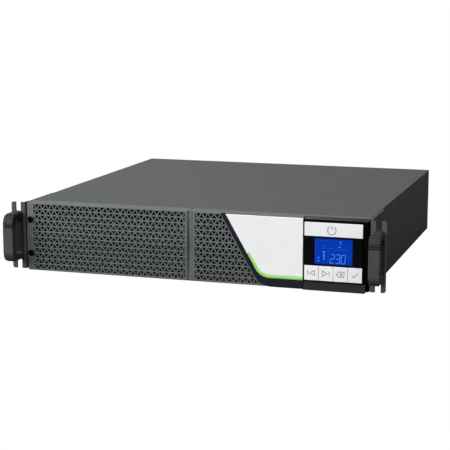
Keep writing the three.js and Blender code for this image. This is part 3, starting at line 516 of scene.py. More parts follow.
# Near-black steel for the panel screws, extra dark so it also paints the shade of their deep bores; the
# sleeves lining the bores are painted shade too.
BLACKENED_STEEL_AND_BORE_SHADE = finish("blackened_steel_and_bore_shade", (0.003, 0.003, 0.003), 0.5, mottle=0.1, patch=3, specular=0.15)
GLOSS = finish("gloss_black", (0.013, 0.0115, 0.021), 0.14, mottle=0.15, patch=20, specular=0.4)
WINDOW = finish("window_black", (0.0025, 0.0025, 0.003), 0.1, mottle=0.15, patch=20, specular=0.12)
WHITE = finish("white_plastic", (0.745, 0.75, 0.76), 0.32, mottle=0.012, patch=25, grain=0.004,
               grain_size=0.5)
KEY_WHITE = finish("key_plastic", (0.75, 0.747, 0.76), 0.3, mottle=0.015, patch=7, grain=0.004,
                   grain_size=0.4)
GREEN = finish("green_plastic", (0.25, 0.62, 0.10), 0.28, mottle=0.06, patch=10, coat=0.3)
# Pale green band along the strip's inner edge: a painted highlight of light on the rounded edge.
GREEN_HIGHLIGHT = finish("green_highlight", (0.52, 0.85, 0.30), 0.3, mottle=0.04, patch=10)
ICON = finish("icon_ink", (0.10, 0.095, 0.11), 0.5, mottle=0.1, patch=2)
LCD = glowing("lcd_blue", (0.0008, 0.027, 0.30), 1.0)
LCD_DIM = glowing("lcd_dim", (0.010, 0.08, 0.52), 1.0, patch=2)
LCD_LIT = glowing("lcd_lit", (0.038, 0.21, 0.74), 1.0, patch=2)
ZINC = finish("zinc_steel", (0.42, 0.43, 0.42), 0.35, 0.85, mottle=0.08, patch=6, grain=0.01)
ALUMINIUM = finish("aluminium", (0.60, 0.61, 0.62), 0.35, 0.9, 0.06, 4, 0.02, 0.5, stretch=(1, 0.04, 1))
BRASS = finish("brass", (0.60, 0.45, 0.18), 0.3, 0.9, mottle=0.08, patch=4, grain=0.01)
BARE = finish("bare_steel", (0.55, 0.55, 0.54), 0.3, 0.9, mottle=0.08, patch=3, grain=0.01)
FERRITE = finish("ferrite", (0.03, 0.03, 0.033), 0.6, 0.1, mottle=0.15, patch=3, grain=0.05, grain_size=0.5)
CASE = finish("battery_case", (0.030, 0.031, 0.034), 0.5, mottle=0.12, patch=8, grain=0.04)
SLEEVE = finish("capacitor_sleeve", (0.012, 0.02, 0.05), 0.3, mottle=0.1, patch=6)
GUARD = finish("chromed_wire", (0.50, 0.50, 0.51), 0.22, 0.95, mottle=0.06, patch=4)
RED_LEAD = finish("red_lead", (0.45, 0.02, 0.015), 0.4, mottle=0.1, patch=5)
BLACK_LEAD = finish("black_lead", (0.012, 0.012, 0.012), 0.4, mottle=0.1, patch=5)
LINK_PLASTIC = finish("connector_plastic", (0.10, 0.10, 0.105), 0.45, mottle=0.08, patch=6, grain=0.02)
BOARD = circuit("circuit_board")
COPPER = wound("copper_turns_with_painted_shade", (0.62, 0.25, 0.12), 1.0)
COPPER_BAR = finish("copper_bar", (0.62, 0.27, 0.13), 0.3, 0.9, mottle=0.1, patch=5)


# ----------- plastic front

def front_y(z):
    """The front surface: a shallow horizontal ridge at mid height."""
    return FRONT_Y + RIDGE_FALL * abs(z - RIDGE_Z) / (RIDGE_Z - PANEL_LOW.z)


def ridge_profile(inset, back_y):
    """Side view of the ridged front, or of the hollow that leaves a wall as thick as the inset."""
    ridge = FRONT_Y + inset * RIDGE_WALL
    edge = ridge + RIDGE_FALL
    low, top = PANEL_LOW.z + inset, PANEL_HIGH.z - inset
    return [(back_y, low), (edge, low), (ridge, RIDGE_Z), (edge, top), (back_y, top)]


def on_ridge(p):
    return abs(p.z - RIDGE_Z) < NEAR and p.y < FRONT_Y + 0.5


def grown(points, distance):
    """An anticlockwise outline with every side moved out by a distance."""
    def outward(a, b):
        length = math.dist(a, b)
        return (b[1] - a[1]) / length, (a[0] - b[0]) / length
    result = []
    for i, point in enumerate(points):
        n1 = outward(points[i - 1], point)
        n2 = outward(point, points[(i + 1) % len(points)])
        reach = distance / (1 + n1[0] * n2[0] + n1[1] * n2[1])
        result.append((point[0] + reach * (n1[0] + n2[0]), point[1] + reach * (n1[1] + n2[1])))
    return result


def add_hole(solid, points):
    """A ventilation hole through the ridged front, with a chamfered rim, wider at the back."""
    wide = grown(points, HOLE_CHAMFER)
    flared = grown(points, HOLE_FLARE)
    layers = ((wide, -HOLE_LEAD), (wide, 0.0), (points, HOLE_CHAMFER), (flared, HOLE_DEPTH))
    rings = [[solid.verts.new((x, front_y(z) + depth, z)) for x, z in outline] for outline, depth in layers]
    solid.faces.new(rings[0])
    solid.faces.new(rings[-1][::-1])
    for a, b in zip(rings, rings[1:]):
        bridge(solid, b, a)


def triangle(x, row, up, side=0):
    """Corners of one hole whose middle is at x. A side of +1 or -1 keeps only that half."""
    inset = BAR / 2
    half = PITCH / 2 - inset * math.sqrt(3)
    z = RIDGE_Z + (row - ROWS / 2) * ROW_HEIGHT
    low = z + (inset if up else 2 * inset)
    high = z + ROW_HEIGHT - (2 * inset if up else inset)
    base, tip = (low, high) if up else (high, low)
    left = (x if side > 0 else x - half, base)
    right = (x if side < 0 else x + half, base)
    return [left, right, (x, tip)] if up else [left, (x, tip), right]


def mesh_holes(start, cells_in_row, closed_end=False):
    """Cutter for rows of triangles that start at a straight left edge."""
    holes = bmesh.new()
    for row in range(ROWS):
        cells = cells_in_row(row)
        for i in range(cells):
            add_hole(holes, triangle(start + (i + 1) * PITCH / 2, row, (row + i) % 2 == 0))
        add_hole(holes, triangle(start, row, row % 2 == 1, 1))
        if closed_end:
            add_hole(holes, triangle(start + (cells + 1) * PITCH / 2, row, row % 2 == 1, -1))
    return sealed(holes)


def front_edges(p):
    return p.y < BEZEL_BACK_Y - 1 and abs(p.z - RIDGE_Z) > 1


def screw_bore(z):
    """Cutter for a screw's wide bore with a broken rim, and for the narrow hole behind it."""
    front, back = FRONT_Y - OVERRUN, BEZEL_BACK_Y + 1
    rim = BORE_RADIUS + BORE_BREAK
    return spun([(0, front), (rim, front), (rim, front_y(z)), (BORE_RADIUS, front_y(z) + BORE_BREAK),
                 (BORE_RADIUS, BORE_FLOOR_Y), (SCREW_HOLE_RADIUS, BORE_FLOOR_Y), (SCREW_HOLE_RADIUS, back),
                 (0, back)], SCREW_X, z)


def battery_panel():
    shell = prism(ridge_profile(0, BEZEL_BACK_Y), "X", PANEL_LOW.x, PANEL_HIGH.x)
    rounded(shell, END_FILLET, 5, lambda p: p.x > PANEL_HIGH.x - 0.1 and p.y < FRONT_Y + 2)
    rounded(shell, EDGE_FILLET, 3, front_edges)
    hollow = ridge_profile(SHELL, BEZEL_BACK_Y + OVERRUN)
    shell = cut(shell, prism(hollow, "X", PANEL_LOW.x + SHELL, PANEL_HIGH.x - SHELL))
    for z in SCREW_ZS:
        shell = join(shell, rod("Y", SCREW_X, z, BOSS_RADIUS, BOSS_FRONT_Y, BEZEL_BACK_Y - 2))
        shell = cut(shell, screw_bore(z))
    shell = cut(shell, mesh_holes(LEFT_MESH_X, lambda row: 2 * LEFT_MESH_COLUMNS - 1, True))
    piece("panel_look", shell, "grey_plastic", PANEL, "battery_panel", body="battery_panel", crease=on_ridge)


def cover_edge_x(z, inset=0.0):
    """Where the cover's slanted left edge is at a height."""
    return COVER_LOW.x + inset / math.cos(SLANT) + (COVER_HIGH.z - z) * math.tan(SLANT)


def cover_corner(inset, low_z):
    """The rounded lower corner, from the slanted edge to the level one."""
    radius = COVER_FILLET - inset
    centre_z = low_z + inset + radius
    return arc(cover_edge_x(centre_z, inset) + radius / math.cos(SLANT), centre_z, radius, 210, 270, 14)


def surround_outline(grow=0.0):
    inset = -SURROUND_BORDER - grow
    low_z = BEZEL_LOW.z + SURROUND_BORDER
    right = SURROUND_HIGH.x + grow
    return [(right, BEZEL_HIGH.z), (cover_edge_x(BEZEL_HIGH.z, inset), BEZEL_HIGH.z),
            *cover_corner(inset, low_z), (right, low_z + inset)]


def bezel_groove():
    """Cutter for the upright groove, with a round lower end, beside the battery panel."""
    middle = (BEZEL_LOW.x + GROOVE_RIGHT_X) / 2 - 1
    top = BEZEL_HIGH.z + OVERRUN
    radius = GROOVE_RIGHT_X - middle
    outline = [(GROOVE_RIGHT_X, top), (BEZEL_LOW.x - 1, top),
               *arc(middle, GROOVE_LOW_Z + 3, radius, 180, 360, 12)]
    return prism(outline, "Y", FRONT_Y - OVERRUN, FRONT_Y + GROOVE_DEPTH)


def front_bezel():
    step_x = FRAME_LOW.x - GAP
    back_zone = FRAME_HIGH.y + GAP
    low, top = BEZEL_LOW.z, BEZEL_HIGH.z
    wall_back = TRIM_SEAT_Y + BACK_WALL
    deep = BEZEL_BACK_Y + OVERRUN
    nose = prism(ridge_profile(0, BEZEL_BACK_Y), "X", BEZEL_LOW.x, step_x)
    rounded(nose, EDGE_FILLET, 3, lambda p: front_edges(p) and p.x < step_x - 1)
    body = join(nose, slab(step_x - SHELL, BEZEL_HIGH.x, back_zone, BEZEL_BACK_Y, low, top))
    behind_mesh = cut(prism(ridge_profile(SHELL, wall_back + 1), "X", GROOVE_RIGHT_X + 1, step_x - SHELL),
                      prism(surround_outline(SHELL), "Y", FRONT_Y - OVERRUN, BEZEL_BACK_Y))
    body = cut(body,
               slab(BEZEL_LOW.x + SHELL, step_x - SHELL, wall_back, deep, low + SHELL, top - SHELL),
               slab(step_x - SHELL - 1, BEZEL_HIGH.x - SHELL, back_zone + SHELL, deep,
                    low + SHELL, top - SHELL),
               behind_mesh, bezel_groove(),
               prism(surround_outline(GAP), "Y", FRONT_Y - OVERRUN, TRIM_SEAT_Y),
               block(DISPLAY_X, DISPLAY_Z, POCKET_HALF, POCKET_HALF, FRONT_Y, BEZEL_BACK_Y),
               mesh_holes(RIGHT_MESH_X, lambda row: RIGHT_MESH_CELLS - row),
               corner_holes())
    piece("bezel_look", body, "grey_plastic", PANEL, "front_bezel", crease=on_ridge)


def corner_holes():
    """Two more cells of the lowest row, cut short by the surround's rounded corner."""
    holes = bmesh.new()
    for i in (RIGHT_MESH_CELLS, RIGHT_MESH_CELLS + 1):
        add_hole(holes, triangle(RIGHT_MESH_X + (i + 1) * PITCH / 2, 0, i % 2 == 0))
    return cut(sealed(holes), prism(surround_outline(BAR / 2), "Y", FRONT_Y - OVERRUN, BEZEL_BACK_Y))


def facing_front(y):
    return lambda p: p.y < y + NEAR


def surround():
    """The gloss black border round the cover's slanted and lower edges."""
    top, right = BEZEL_HIGH.z, SURROUND_HIGH.x
    inner = [(cover_edge_x(top, -GAP), top), *cover_corner(-GAP, GREEN_LOW.z), (right, GREEN_LOW.z - GAP)]
    solid = prism(surround_outline()[1:] + inner[::-1], "Y", SURROUND_LOW.y, SURROUND_HIGH.y)
    rounded(solid, 0.5, 3, facing_front(SURROUND_LOW.y))
    piece("surround_look", solid, "gloss_black", GLOSS, "accent_surround")


def green_end(along, across):
    """A point measured from the upper end of the green edge, along it upwards and across it inwards."""
    return (cover_edge_x(GREEN_TOP_Z) - along * math.sin(SLANT) + across * math.cos(SLANT),
            GREEN_TOP_Z + along * math.cos(SLANT) + across * math.sin(SLANT))


def white_cover():
    low_z = GREEN_LOW.z
    step = GREEN_WIDTH + GAP
    right, top = COVER_HIGH.x, COVER_HIGH.z
    outline = [(right, top), (cover_edge_x(top), top), green_end(GAP, 0), green_end(GAP, step),
               *cover_corner(step, low_z), (right, low_z + step)]
    solid = prism(outline, "Y", COVER_LOW.y, COVER_HIGH.y)
    rounded(solid, 0.45, 3, facing_front(COVER_LOW.y))
    piece("cover_look", solid, "white_plastic", WHITE, "white_cover")


def green_strip():
    """The green edge: a bright band along the black border, and a paler band along the cover that is a
    painted highlight on the strip's rounded inner edge.
    """
    low_z, right = GREEN_LOW.z, GREEN_HIGH.x
    bands = ((0.0, GREEN_SPLIT, GREEN, "green_look", ("green_strip",)),
             (GREEN_SPLIT, GREEN_WIDTH, GREEN_HIGHLIGHT, "green_highlight_look", ()))
    for near, far, material, name, replaced in bands:
        outline = [green_end(0, near), *cover_corner(near, low_z), (right, low_z + near),
                   (right, low_z + far), *cover_corner(far, low_z)[::-1], green_end(0, far)]
        solid = prism(outline, "Y", GREEN_LOW.y, GREEN_HIGH.y)
        rounded(solid, 0.35, 2, facing_front(GREEN_LOW.y))
        piece(name, solid, "green_plastic", material, *replaced)


# ----------- display unit

ICON_LINE = 0.7
ICON_SCALE = 1.15
KEY_ICONS = {
    "key_previous": [([(-3.7, -2.7), (-3.7, 2.7)], False), ([(3.3, -2.7), (3.3, 2.7), (-1.6, 0)], True)],
    "key_next": [([(3.7, -2.7), (3.7, 2.7)], False), ([(-3.3, 2.7), (-3.3, -2.7), (1.6, 0)], True)],
    "key_cancel": [([(-1.6, -2.7), (4.0, -2.7), (4.0, 2.7), (-1.6, 2.7), (-4.2, 0)], True),
                   ([(-0.2, -1.2), (2.2, 1.2)], False), ([(-0.2, 1.2), (2.2, -1.2)], False)],
    "key_confirm": [([(-3.2, 0.2), (-0.8, -2.6), (3.6, 3.0)], False)],
}
POWER_LINE = 0.85
POWER_ICON = [(arc(-2, -0.6, 5.1, 122, 418, 24), False), ([(-2, 0.6), (-2, 5.2)], False)]
LCD_MARGIN = 0.4
FAINT_LINE = 0.4
LIT_LINE = 0.85
DIGIT_WIDTH = 4.6
DIGIT_HEIGHT = 10.6
DIGIT_STEP = 0.145
DIGIT_LEAN = 0.08
DIGIT_GAP = 0.28
DIGIT_SEGMENTS = {"2": "abged", "3": "abgcd", "0": "abcdef"}


def ink(name, body, strokes, x, z, y, line, slot, material):
    """Line art raised a hair above a face."""
    lines = [ribbon([(x + u, z + v) for u, v in points], line, y, closed) for points, closed in strokes]
    piece(name, merged(*lines), slot, material, body=body)


def key_cap(node, icon_strokes, line):
    low, high = span(node)
    cap = between(low, high)
    rounded(cap, 0.35, 3, lambda p: p.y < high.y - 0.1)
    piece(f"{node}_look", cap, "white_plastic", KEY_WHITE, node, body=node)
    ink(f"{node}_icon", node, icon_strokes, (low.x + high.x) / 2, (low.z + high.z) / 2, low.y, line,
        "grey_plastic", ICON)


def keys():
    for node, strokes in KEY_ICONS.items():
        key_cap(node, [([(u * ICON_SCALE, v * ICON_SCALE) for u, v in points], closed)
                       for points, closed in strokes], ICON_LINE)
    key_cap("power_button", POWER_ICON, POWER_LINE)


def window():
    """The black window, open over the screen."""
    middle = (LCD_LOW + LCD_HIGH) / 2
    half = (LCD_HIGH - LCD_LOW) / 2
    opening = block(middle.x, middle.z, half.x + LCD_MARGIN, half.z + LCD_MARGIN, WINDOW_LOW.y - 1,
                    WINDOW_HIGH.y + 1)
    ring = cut(between(WINDOW_LOW, WINDOW_HIGH), opening)
    rounded(ring, 0.2, 2, facing_front(WINDOW_LOW.y))
    piece("window_look", ring, "window_black", WINDOW, "display_window", body="display_unit")


def segment_digit(x, z, lit):
    """Strokes of a seven-segment digit whose lower left corner is (x, z)."""
    width, height, gap = DIGIT_WIDTH, DIGIT_HEIGHT, DIGIT_GAP
    lean = DIGIT_LEAN * height
    middle = z + height / 2
    top = z + height
    corners = {
        "a": ((x + gap + lean, top), (x + width - gap + lean, top)),
        "b": ((x + width + lean, top - gap), (x + width + lean / 2, middle + gap)),
        "c": ((x + width + lean / 2, middle - gap), (x + width, z + gap)),
        "d": ((x + gap, z), (x + width - gap, z)),
        "e": ((x, z + gap), (x + lean / 2, middle - gap)),
        "f": ((x + lean / 2, middle + gap), (x + lean, top - gap)),
        "g": ((x + gap + lean / 2, middle), (x + width - gap + lean / 2, middle)),
    }
    return [(list(corners[name]), False) for name in lit]


# Level dashes on the screen, as (left end, height, length), and open strokes as lists of points. All are
# shares of the screen's width from its left edge, and of its height from its top edge.
FAINT_DASHES = ((0.06, 0.38, 0.88),
                *((u, 0.07, 0.045) for u in (0.08, 0.15, 0.22, 0.30, 0.38, 0.55)),
                *((0.60, v, 0.14) for v in (0.20, 0.25)), (0.24, 0.31, 0.09),
                *((u, 0.93, 0.02) for u in (0.20, 0.24, 0.28, 0.32)))
FAINT_STROKES = (((0.36, 0.41), (0.36, 0.96)), ((0.22, 0.20), (0.25, 0.31), (0.29, 0.20)),
                 ((0.50, 0.50), (0.58, 0.44), (0.74, 0.42), (0.88, 0.47)),
                 ((0.88, 0.62), (0.905, 0.90), (0.93, 0.62)), ((0.03, 0.06), (0.03, 0.95)))
LIT_DASHES = (*((0.225, v, 0.05) for v in (0.56, 0.61, 0.66, 0.71, 0.76, 0.81)), (0.21, 0.51, 0.08),
              (0.08, 0.78, 0.05), (0.095, 0.73, 0.02), (0.07, 0.89, 0.07),
              (0.66, 0.10, 0.06), (0.675, 0.14, 0.03), (0.63, 0.31, 0.07))
DIGITS = "230"
DIGITS_LEFT = 0.415
DIGITS_FOOT = 0.955


def lcd():
    """The lit screen, with digits, a level bar, small symbols and fainter dividing lines."""
    front = LCD_LOW.y - 0.1
    screen = slab(LCD_LOW.x, LCD_HIGH.x, front, LCD_HIGH.y, LCD_LOW.z, LCD_HIGH.z)
    piece("lcd_look", screen, "lcd_blue", LCD, "lcd_panel", body="display_unit")
    width, height = LCD_HIGH.x - LCD_LOW.x, LCD_HIGH.z - LCD_LOW.z

    def at(u, v):
        return width * u, height * (1 - v)

    def dashes(table):
        return [([at(u, v), at(u + length, v)], False) for u, v, length in table]

    faint = dashes(FAINT_DASHES) + [([at(u, v) for u, v in stroke], False) for stroke in FAINT_STROKES]
    digits = []
    for place, digit in enumerate(DIGITS):
        digits += segment_digit(*at(DIGITS_LEFT + DIGIT_STEP * place, DIGITS_FOOT), DIGIT_SEGMENTS[digit])
    for name, strokes, line, material in (("faint", faint, FAINT_LINE, LCD_DIM),
                                          ("symbols", dashes(LIT_DASHES), LIT_LINE, LCD_LIT),
                                          ("digits", digits, LIT_LINE, LCD_LIT)):
        ink(f"lcd_{name}", "display_unit", strokes, LCD_LOW.x, LCD_LOW.z, front, line, "lcd_blue", material)


# ----------- handles, ears and screws

HANDLE_BEND = 13.0
HANDLE_BAR = 9.0
HANDLE_BASE = 1.6
HANDLE_CORNER = 4.0
GRIP_LOW_Z = 59.0
RIB_PITCH = 3.5
RIBS = 6
RIB_HALF_WIDTH = 0.7
RIB_DEPTH = 1.3


def handle_loop():
    """A bar on two legs with rounded corners in both views, as the right-hand handle."""
    low, high = span("handle_right")
    seat = high.y - HANDLE_BASE
    bend, bar, corner = HANDLE_BEND, HANDLE_BAR, HANDLE_CORNER
    inner = bend - bar / 2
    side = [(seat, low.z), *arc(low.y + bend, low.z + bend, bend, 270, 180, 12),
            *arc(low.y + bend, high.z - bend, bend, 180, 90, 12), (seat, high.z), (seat, high.z - bar),
            *arc(low.y + bar + inner, high.z - bar - inner, inner, 90, 180, 8),
            *arc(low.y + bar + inner, low.z + bar + inner, inner, 180, 270, 8),
            (seat, low.z + bar)]
    front = rounded_rectangle(low.x, high.x, low.z, high.z, corner, 6)
    loop = combine(prism(side, "X", low.x, high.x), prism(front, "Y", low.y - 1, high.y + 1), "INTERSECT")
    return rounded(loop, 1.2, 3, lambda p: p.y < seat - 0.5)


def handle_rib(distance):
    """Cutter for one rib groove, at a distance up the outer face from the lowest one."""
    low, high = span("handle_right")
    straight = high.z - HANDLE_BEND - GRIP_LOW_Z
    groove = slab(low.x - 1, high.x + 1, -1.5, RIB_DEPTH, -RIB_HALF_WIDTH, RIB_HALF_WIDTH)
    if distance <= straight:
        return moved(groove, 0, low.y, GRIP_LOW_Z + distance)
    lean = (distance - straight) / HANDLE_BEND
    turned(groove, "X", -math.degrees(lean))
    return moved(groove, 0, low.y + HANDLE_BEND * (1 - math.cos(lean)),
                 high.z - HANDLE_BEND + HANDLE_BEND * math.sin(lean))


def handles():
    """Each handle: a smooth lower bar, a darker ribbed upper grip whose dark rubber colour also paints the
    shade over the ribs and the top bend, and a black base plate that paints the shade seen through the
    handle's opening.
    """
    low, high = span("handle_right")
    split = GRIP_LOW_Z - 0.6
    for side in ("left", "right"):
        lower = cut(handle_loop(), slab(low.x - 1, high.x + 1, low.y - 1, high.y + 1, split, high.z + 1))
        upper = cut(handle_loop(), slab(low.x - 1, high.x + 1, low.y - 1, high.y + 1, low.z - 1, split),
                    *(handle_rib(RIB_PITCH * i) for i in range(RIBS)))
        # The black base plate is painted shade: a near-black plate behind the bar where only the bar's shade
        # falls.
        base = prism(rounded_rectangle(low.x, high.x, low.z, high.z, HANDLE_CORNER), "Y",
                     high.y - HANDLE_BASE, high.y)
        rounded(base, 0.4, 2, lambda p: p.y < high.y - 1)
        parts = (("bar", lower, GRIP, (f"handle_{side}",)),
                 ("grip", upper, GRIP_RUBBER_AND_SHADE, ()),
                 ("base", base, BLACK, ()))
        for part, solid, material, replaced in parts:
            if side == "left":
                mirrored(solid)
            piece(f"handle_{side}_{part}", solid, "handle_plastic", material, *replaced)


def cross(x, z, y0, y1, half_length, half_width, angle):
    """Two cutters for the crossed slots in a screw's head."""
    return [turned_at(block(0, 0, half_length, half_width, y0, y1), x, z, angle + more) for more in (0, 90)]


def panel_screws():
    """Blackened pan-head screws with a crossed recess, deep in their holes. Their near-black heads and a thin
    near-black sleeve lining each hole also paint the shade of the deep bore.
    """
    for node in ("panel_screw_upper", "panel_screw_lower"):
        low, high = span(node)
        x, z = (low.x + high.x) / 2, (low.z + high.z) / 2
        radius = (high.x - low.x) / 2
        head = low.y
        shank = 1.7
        tip = 1.2
        length = high.y - head
        screw = spun([(0, 0), (radius * 0.6, 0.1), (radius * 0.92, 0.6), (radius, 1.2), (radius, 1.8),
                      (shank, 1.8), (shank, length - 0.5), (tip, length), (0, length)], x, z, base=head)
        screw = cut(screw, *cross(x, z, head - 1, head + 0.9, 2.2, 0.35, 20))
        piece(f"{node}_look", screw, "black_steel", BLACKENED_STEEL_AND_BORE_SHADE, node, body="battery_panel")
        # A thin near-black sleeve lining the bore wall: painted shade for the dark inside of the hole.
        outer = BORE_RADIUS - NEAR
        bore_shade_sleeve = cut(rod("Y", x, z, outer, FRONT_Y + 0.6, BORE_FLOOR_Y - 0.1),
                     rod("Y", x, z, outer - BORE_SHADE_WALL, FRONT_Y - 1, BORE_FLOOR_Y + 1))
        piece(f"{node}_collar", bore_shade_sleeve, "black_plastic", BLACKENED_STEEL_AND_BORE_SHADE, body="battery_panel")


# ----------- rear face

def middle_of(node):
    low, high = span(node)
    return (low + high) / 2


def star(x, z, radius, groove, points):
    """Outline of a knurled knob."""
    turn = math.pi / points
    reaches = [radius, radius - groove] * points
    return [(x + reach * math.cos(i * turn), z + reach * math.sin(i * turn))
            for i, reach in enumerate(reaches)]


def pan_head(x, z, base, radius, angle):
    """A crossed pan-head screw standing on a surface that faces the rear."""
    height = radius * 0.6
    top = base + height
    head = spun([(0, height), (radius * 0.6, height - 0.1), (radius * 0.9, height - 0.6), (radius, 0.2),
                 (radius, 0), (0, 0)], x, z, 24, base)
    return cut(head, *cross(x, z, top - 0.8, top + 1, height, 0.3, angle))


GUARD_RINGS = (9, 17, 25, 33)
GUARD_CORNER = 35.7
GUARD_WIRE = 0.85
GUARD_CROSS_WIRE = 1.0
EYELET_RADIUS = 2.9


def fan_guard():
    """Chromed wire rings on two crossed wires that end in eyelets, with their screws."""
    centre = middle_of("fan_guard")
    seat = span("fan_guard")[0].y
    y = seat + 0.9
    across = (0, 1, 0)

    def ring(x, z, radius, sides):
        return wire([(u, y, v) for u, v in circle(x, z, radius, sides)], GUARD_WIRE, across, closed=True)

    parts = [ring(centre.x, centre.z, radius, 56) for radius in GUARD_RINGS]
    screws = []
    for slope in (1, -1):
        reach = GUARD_CORNER - 2
        ends = [(centre.x + side * reach, y, centre.z + side * slope * reach) for side in (-1, 1)]
        parts.append(wire(ends, GUARD_CROSS_WIRE, across))
        for side in (-1, 1):
            x, z = centre.x + side * GUARD_CORNER, centre.z + side * slope * GUARD_CORNER
            parts.append(ring(x, z, EYELET_RADIUS, 20))
            screws.append(pan_head(x, z, seat + 0.2, 2.4, 20 + 30 * side))
    piece("guard_look", merged(*parts), "zinc_steel", GUARD, "fan_guard")
    piece("guard_screws", merged(*screws), "zinc_steel", DARK_COAT_AND_GRILLE_SHADE)


HUB_RADIUS = 16.0
BLADES = 7
BLADE_ROOT = 15.6
BLADE_TIP = 36.4
BLADE_SECTIONS = 7
BLADE_SWEEP = 0.32
BLADE_HALF_ANGLE = 0.34
BLADE_NARROWING = 0.05
BLADE_FLATTENING = 0.16
BLADE_BULGE = 1.4
BLADE_THICKNESS = 1.3
TRAILING_THICKNESS = 0.2


def fan_blade(start, low_y, high_y):
    """A swept blade that flattens towards its tip, drawn about the Y axis."""
    solid = bmesh.new()
    rings = []
    for i in range(BLADE_SECTIONS):
        share = i / (BLADE_SECTIONS - 1)
        radius = BLADE_ROOT + (BLADE_TIP - BLADE_ROOT) * share
        sweep = start + BLADE_SWEEP * share ** 1.5
        half = BLADE_HALF_ANGLE - BLADE_NARROWING * share
        inset = (high_y - low_y) * BLADE_FLATTENING * share
        first, last = low_y + inset, high_y - inset
        middle = (low_y + high_y) / 2 + BLADE_BULGE
        outline = ((-half, first), (0, middle), (half, last), (half, last - BLADE_THICKNESS),
                   (0, middle - BLADE_THICKNESS), (-half, first - TRAILING_THICKNESS))
        rings.append([solid.verts.new((radius * math.cos(sweep + angle), y, radius * math.sin(sweep + angle)))
                      for angle, y in outline])
    for a, b in zip(rings, rings[1:]):
        bridge(solid, a, b)
    solid.faces.new(rings[0][::-1])
    solid.faces.new(rings[-1])
    return sealed(solid)


def fan_rotor():
    low, high = span("fan_rotor")
    centre = middle_of("fan_rotor")
    radius = HUB_RADIUS
    hub = spun([(0, high.y), (radius - 2, high.y), (radius - 0.4, high.y - 0.8), (radius, high.y - 2),
                (radius, low.y + 1), (radius - 0.6, low.y), (9, low.y), (8, low.y + 1.2), (0, low.y + 1.2)],
               0, 0, 40)
    blades = [fan_blade(i / BLADES * 2 * math.pi, low.y + 1.5, high.y - 1.5) for i in range(BLADES)]
    whole = moved(merged(hub, *blades), centre.x, 0, centre.z)
    piece("rotor_look", whole, "black_plastic", BLACK, "fan_rotor", body="fan_rotor")


OUTLET_STEP = 15.5
OUTLET_DEPTH = 10.0
ISLAND_OUTLINE = (8.5, -4.6, 3.4, 5.5, 6.2)
OUTLET_SLOTS = ((-6, -1.5), (6, -1.5), (0, 2.6))
INLET_PINS = ((-7, -2.5), (7, -2.5), (0, 2.5))


def outlet_islands():
    """The raised island with three slots that fills the middle of each outlet."""
    wide, low, side_top, narrow, top = ISLAND_OUTLINE
    for side in ("left", "right"):
        centre = middle_of(f"outlet_block_{side}")
        face = span(f"outlet_block_{side}")[1].y
        islands = []
        for x in (centre.x - OUTLET_STEP, centre.x + OUTLET_STEP):
            for z in (centre.z - OUTLET_STEP, centre.z + OUTLET_STEP):
                outline = [(x - wide, z + low), (x + wide, z + low), (x + wide, z + side_top),
                           (x + narrow, z + top), (x - narrow, z + top), (x - wide, z + side_top)]
                island = prism(outline, "Y", face - OUTLET_DEPTH, face - 1.2)
                rounded(island, 0.5, 2, lambda p: p.y > face - 1.3)
                islands.append(cut(island, *(block(x + u, z + v, 1, 2, face - OUTLET_DEPTH + 1, face + 1)
                                             for u, v in OUTLET_SLOTS)))
        piece(f"outlet_islands_{side}", merged(*islands), "black_plastic", BLACK)


def inlet_pins():
    """Plated sleeves over the inlet's three flat pins."""
    centre = middle_of("ac_inlet")
    face = span("ac_inlet")[1].y
    tip = face - 6.2
    pins = [block(centre.x + u, centre.z + v, 1.08, 2.08, face - 19, tip) for u, v in INLET_PINS]
    pins = [rounded(pin, 0.5, 2, lambda p: p.y > tip - 0.2) for pin in pins]
    piece("inlet_pins", merged(*pins), "zinc_steel", BARE)


def link_contacts():
    """Plated contact blades inside the two housings of the battery connector."""
    centre = middle_of("external_battery_connector")
    face = span("external_battery_connector")[1].y
    tip = face - 5
    blades = [block(centre.x + u, centre.z, 5, 1.2, face - 16, tip) for u in (-11.5, 11.5)]
    blades = [rounded(blade, 0.4, 2, lambda p: p.y > tip - 0.1) for blade in blades]
    piece("link_contacts", merged(*blades), "zinc_steel", BARE)


PIN_PITCH = 2.77
PIN_ROWS = ((5, 1.4), (4, -1.4))
NUT_SPREAD = 12.4


def signal_ports():
    """The tongue of the square port, and the pins and hexagon nuts of the nine-way one."""
    usb = middle_of("usb_port")
    face = span("usb_port")[1].y
    tongue = rounded(block(usb.x, usb.z, 2.7, 1.5, face - 3.3, face - 0.5), 0.3, 2)
    piece("port_tongue", tongue, "white_plastic", KEY_WHITE)
    serial = middle_of("serial_port")
    face = span("serial_port")[1].y
    pins = [spun([(0, 0.35), (0.4, 0.3), (0.5, 0), (0.5, -0.5), (0, -0.5)],
                 serial.x + PIN_PITCH * (i - (count - 1) / 2), serial.z + v, 12, face)
            for count, v in PIN_ROWS for i in range(count)]
    piece("port_pins", merged(*pins), "brass", BRASS)
    base = face - 5
    nuts = []
    for x in (serial.x - NUT_SPREAD, serial.x + NUT_SPREAD):
        nut = rounded(rod("Y", x, serial.z, 2.6, base, base + 4, 6), 0.3, 2)
        nuts.append(cut(nut, rod("Y", x, serial.z, 1.2, base + 1, base + 6, 16)))
    piece("port_nuts", merged(*nuts), "zinc_steel", BARE)


STUD_RADIUS = 3.0
STUD_ROOT = 2.6
STUD_PITCH = 1.0


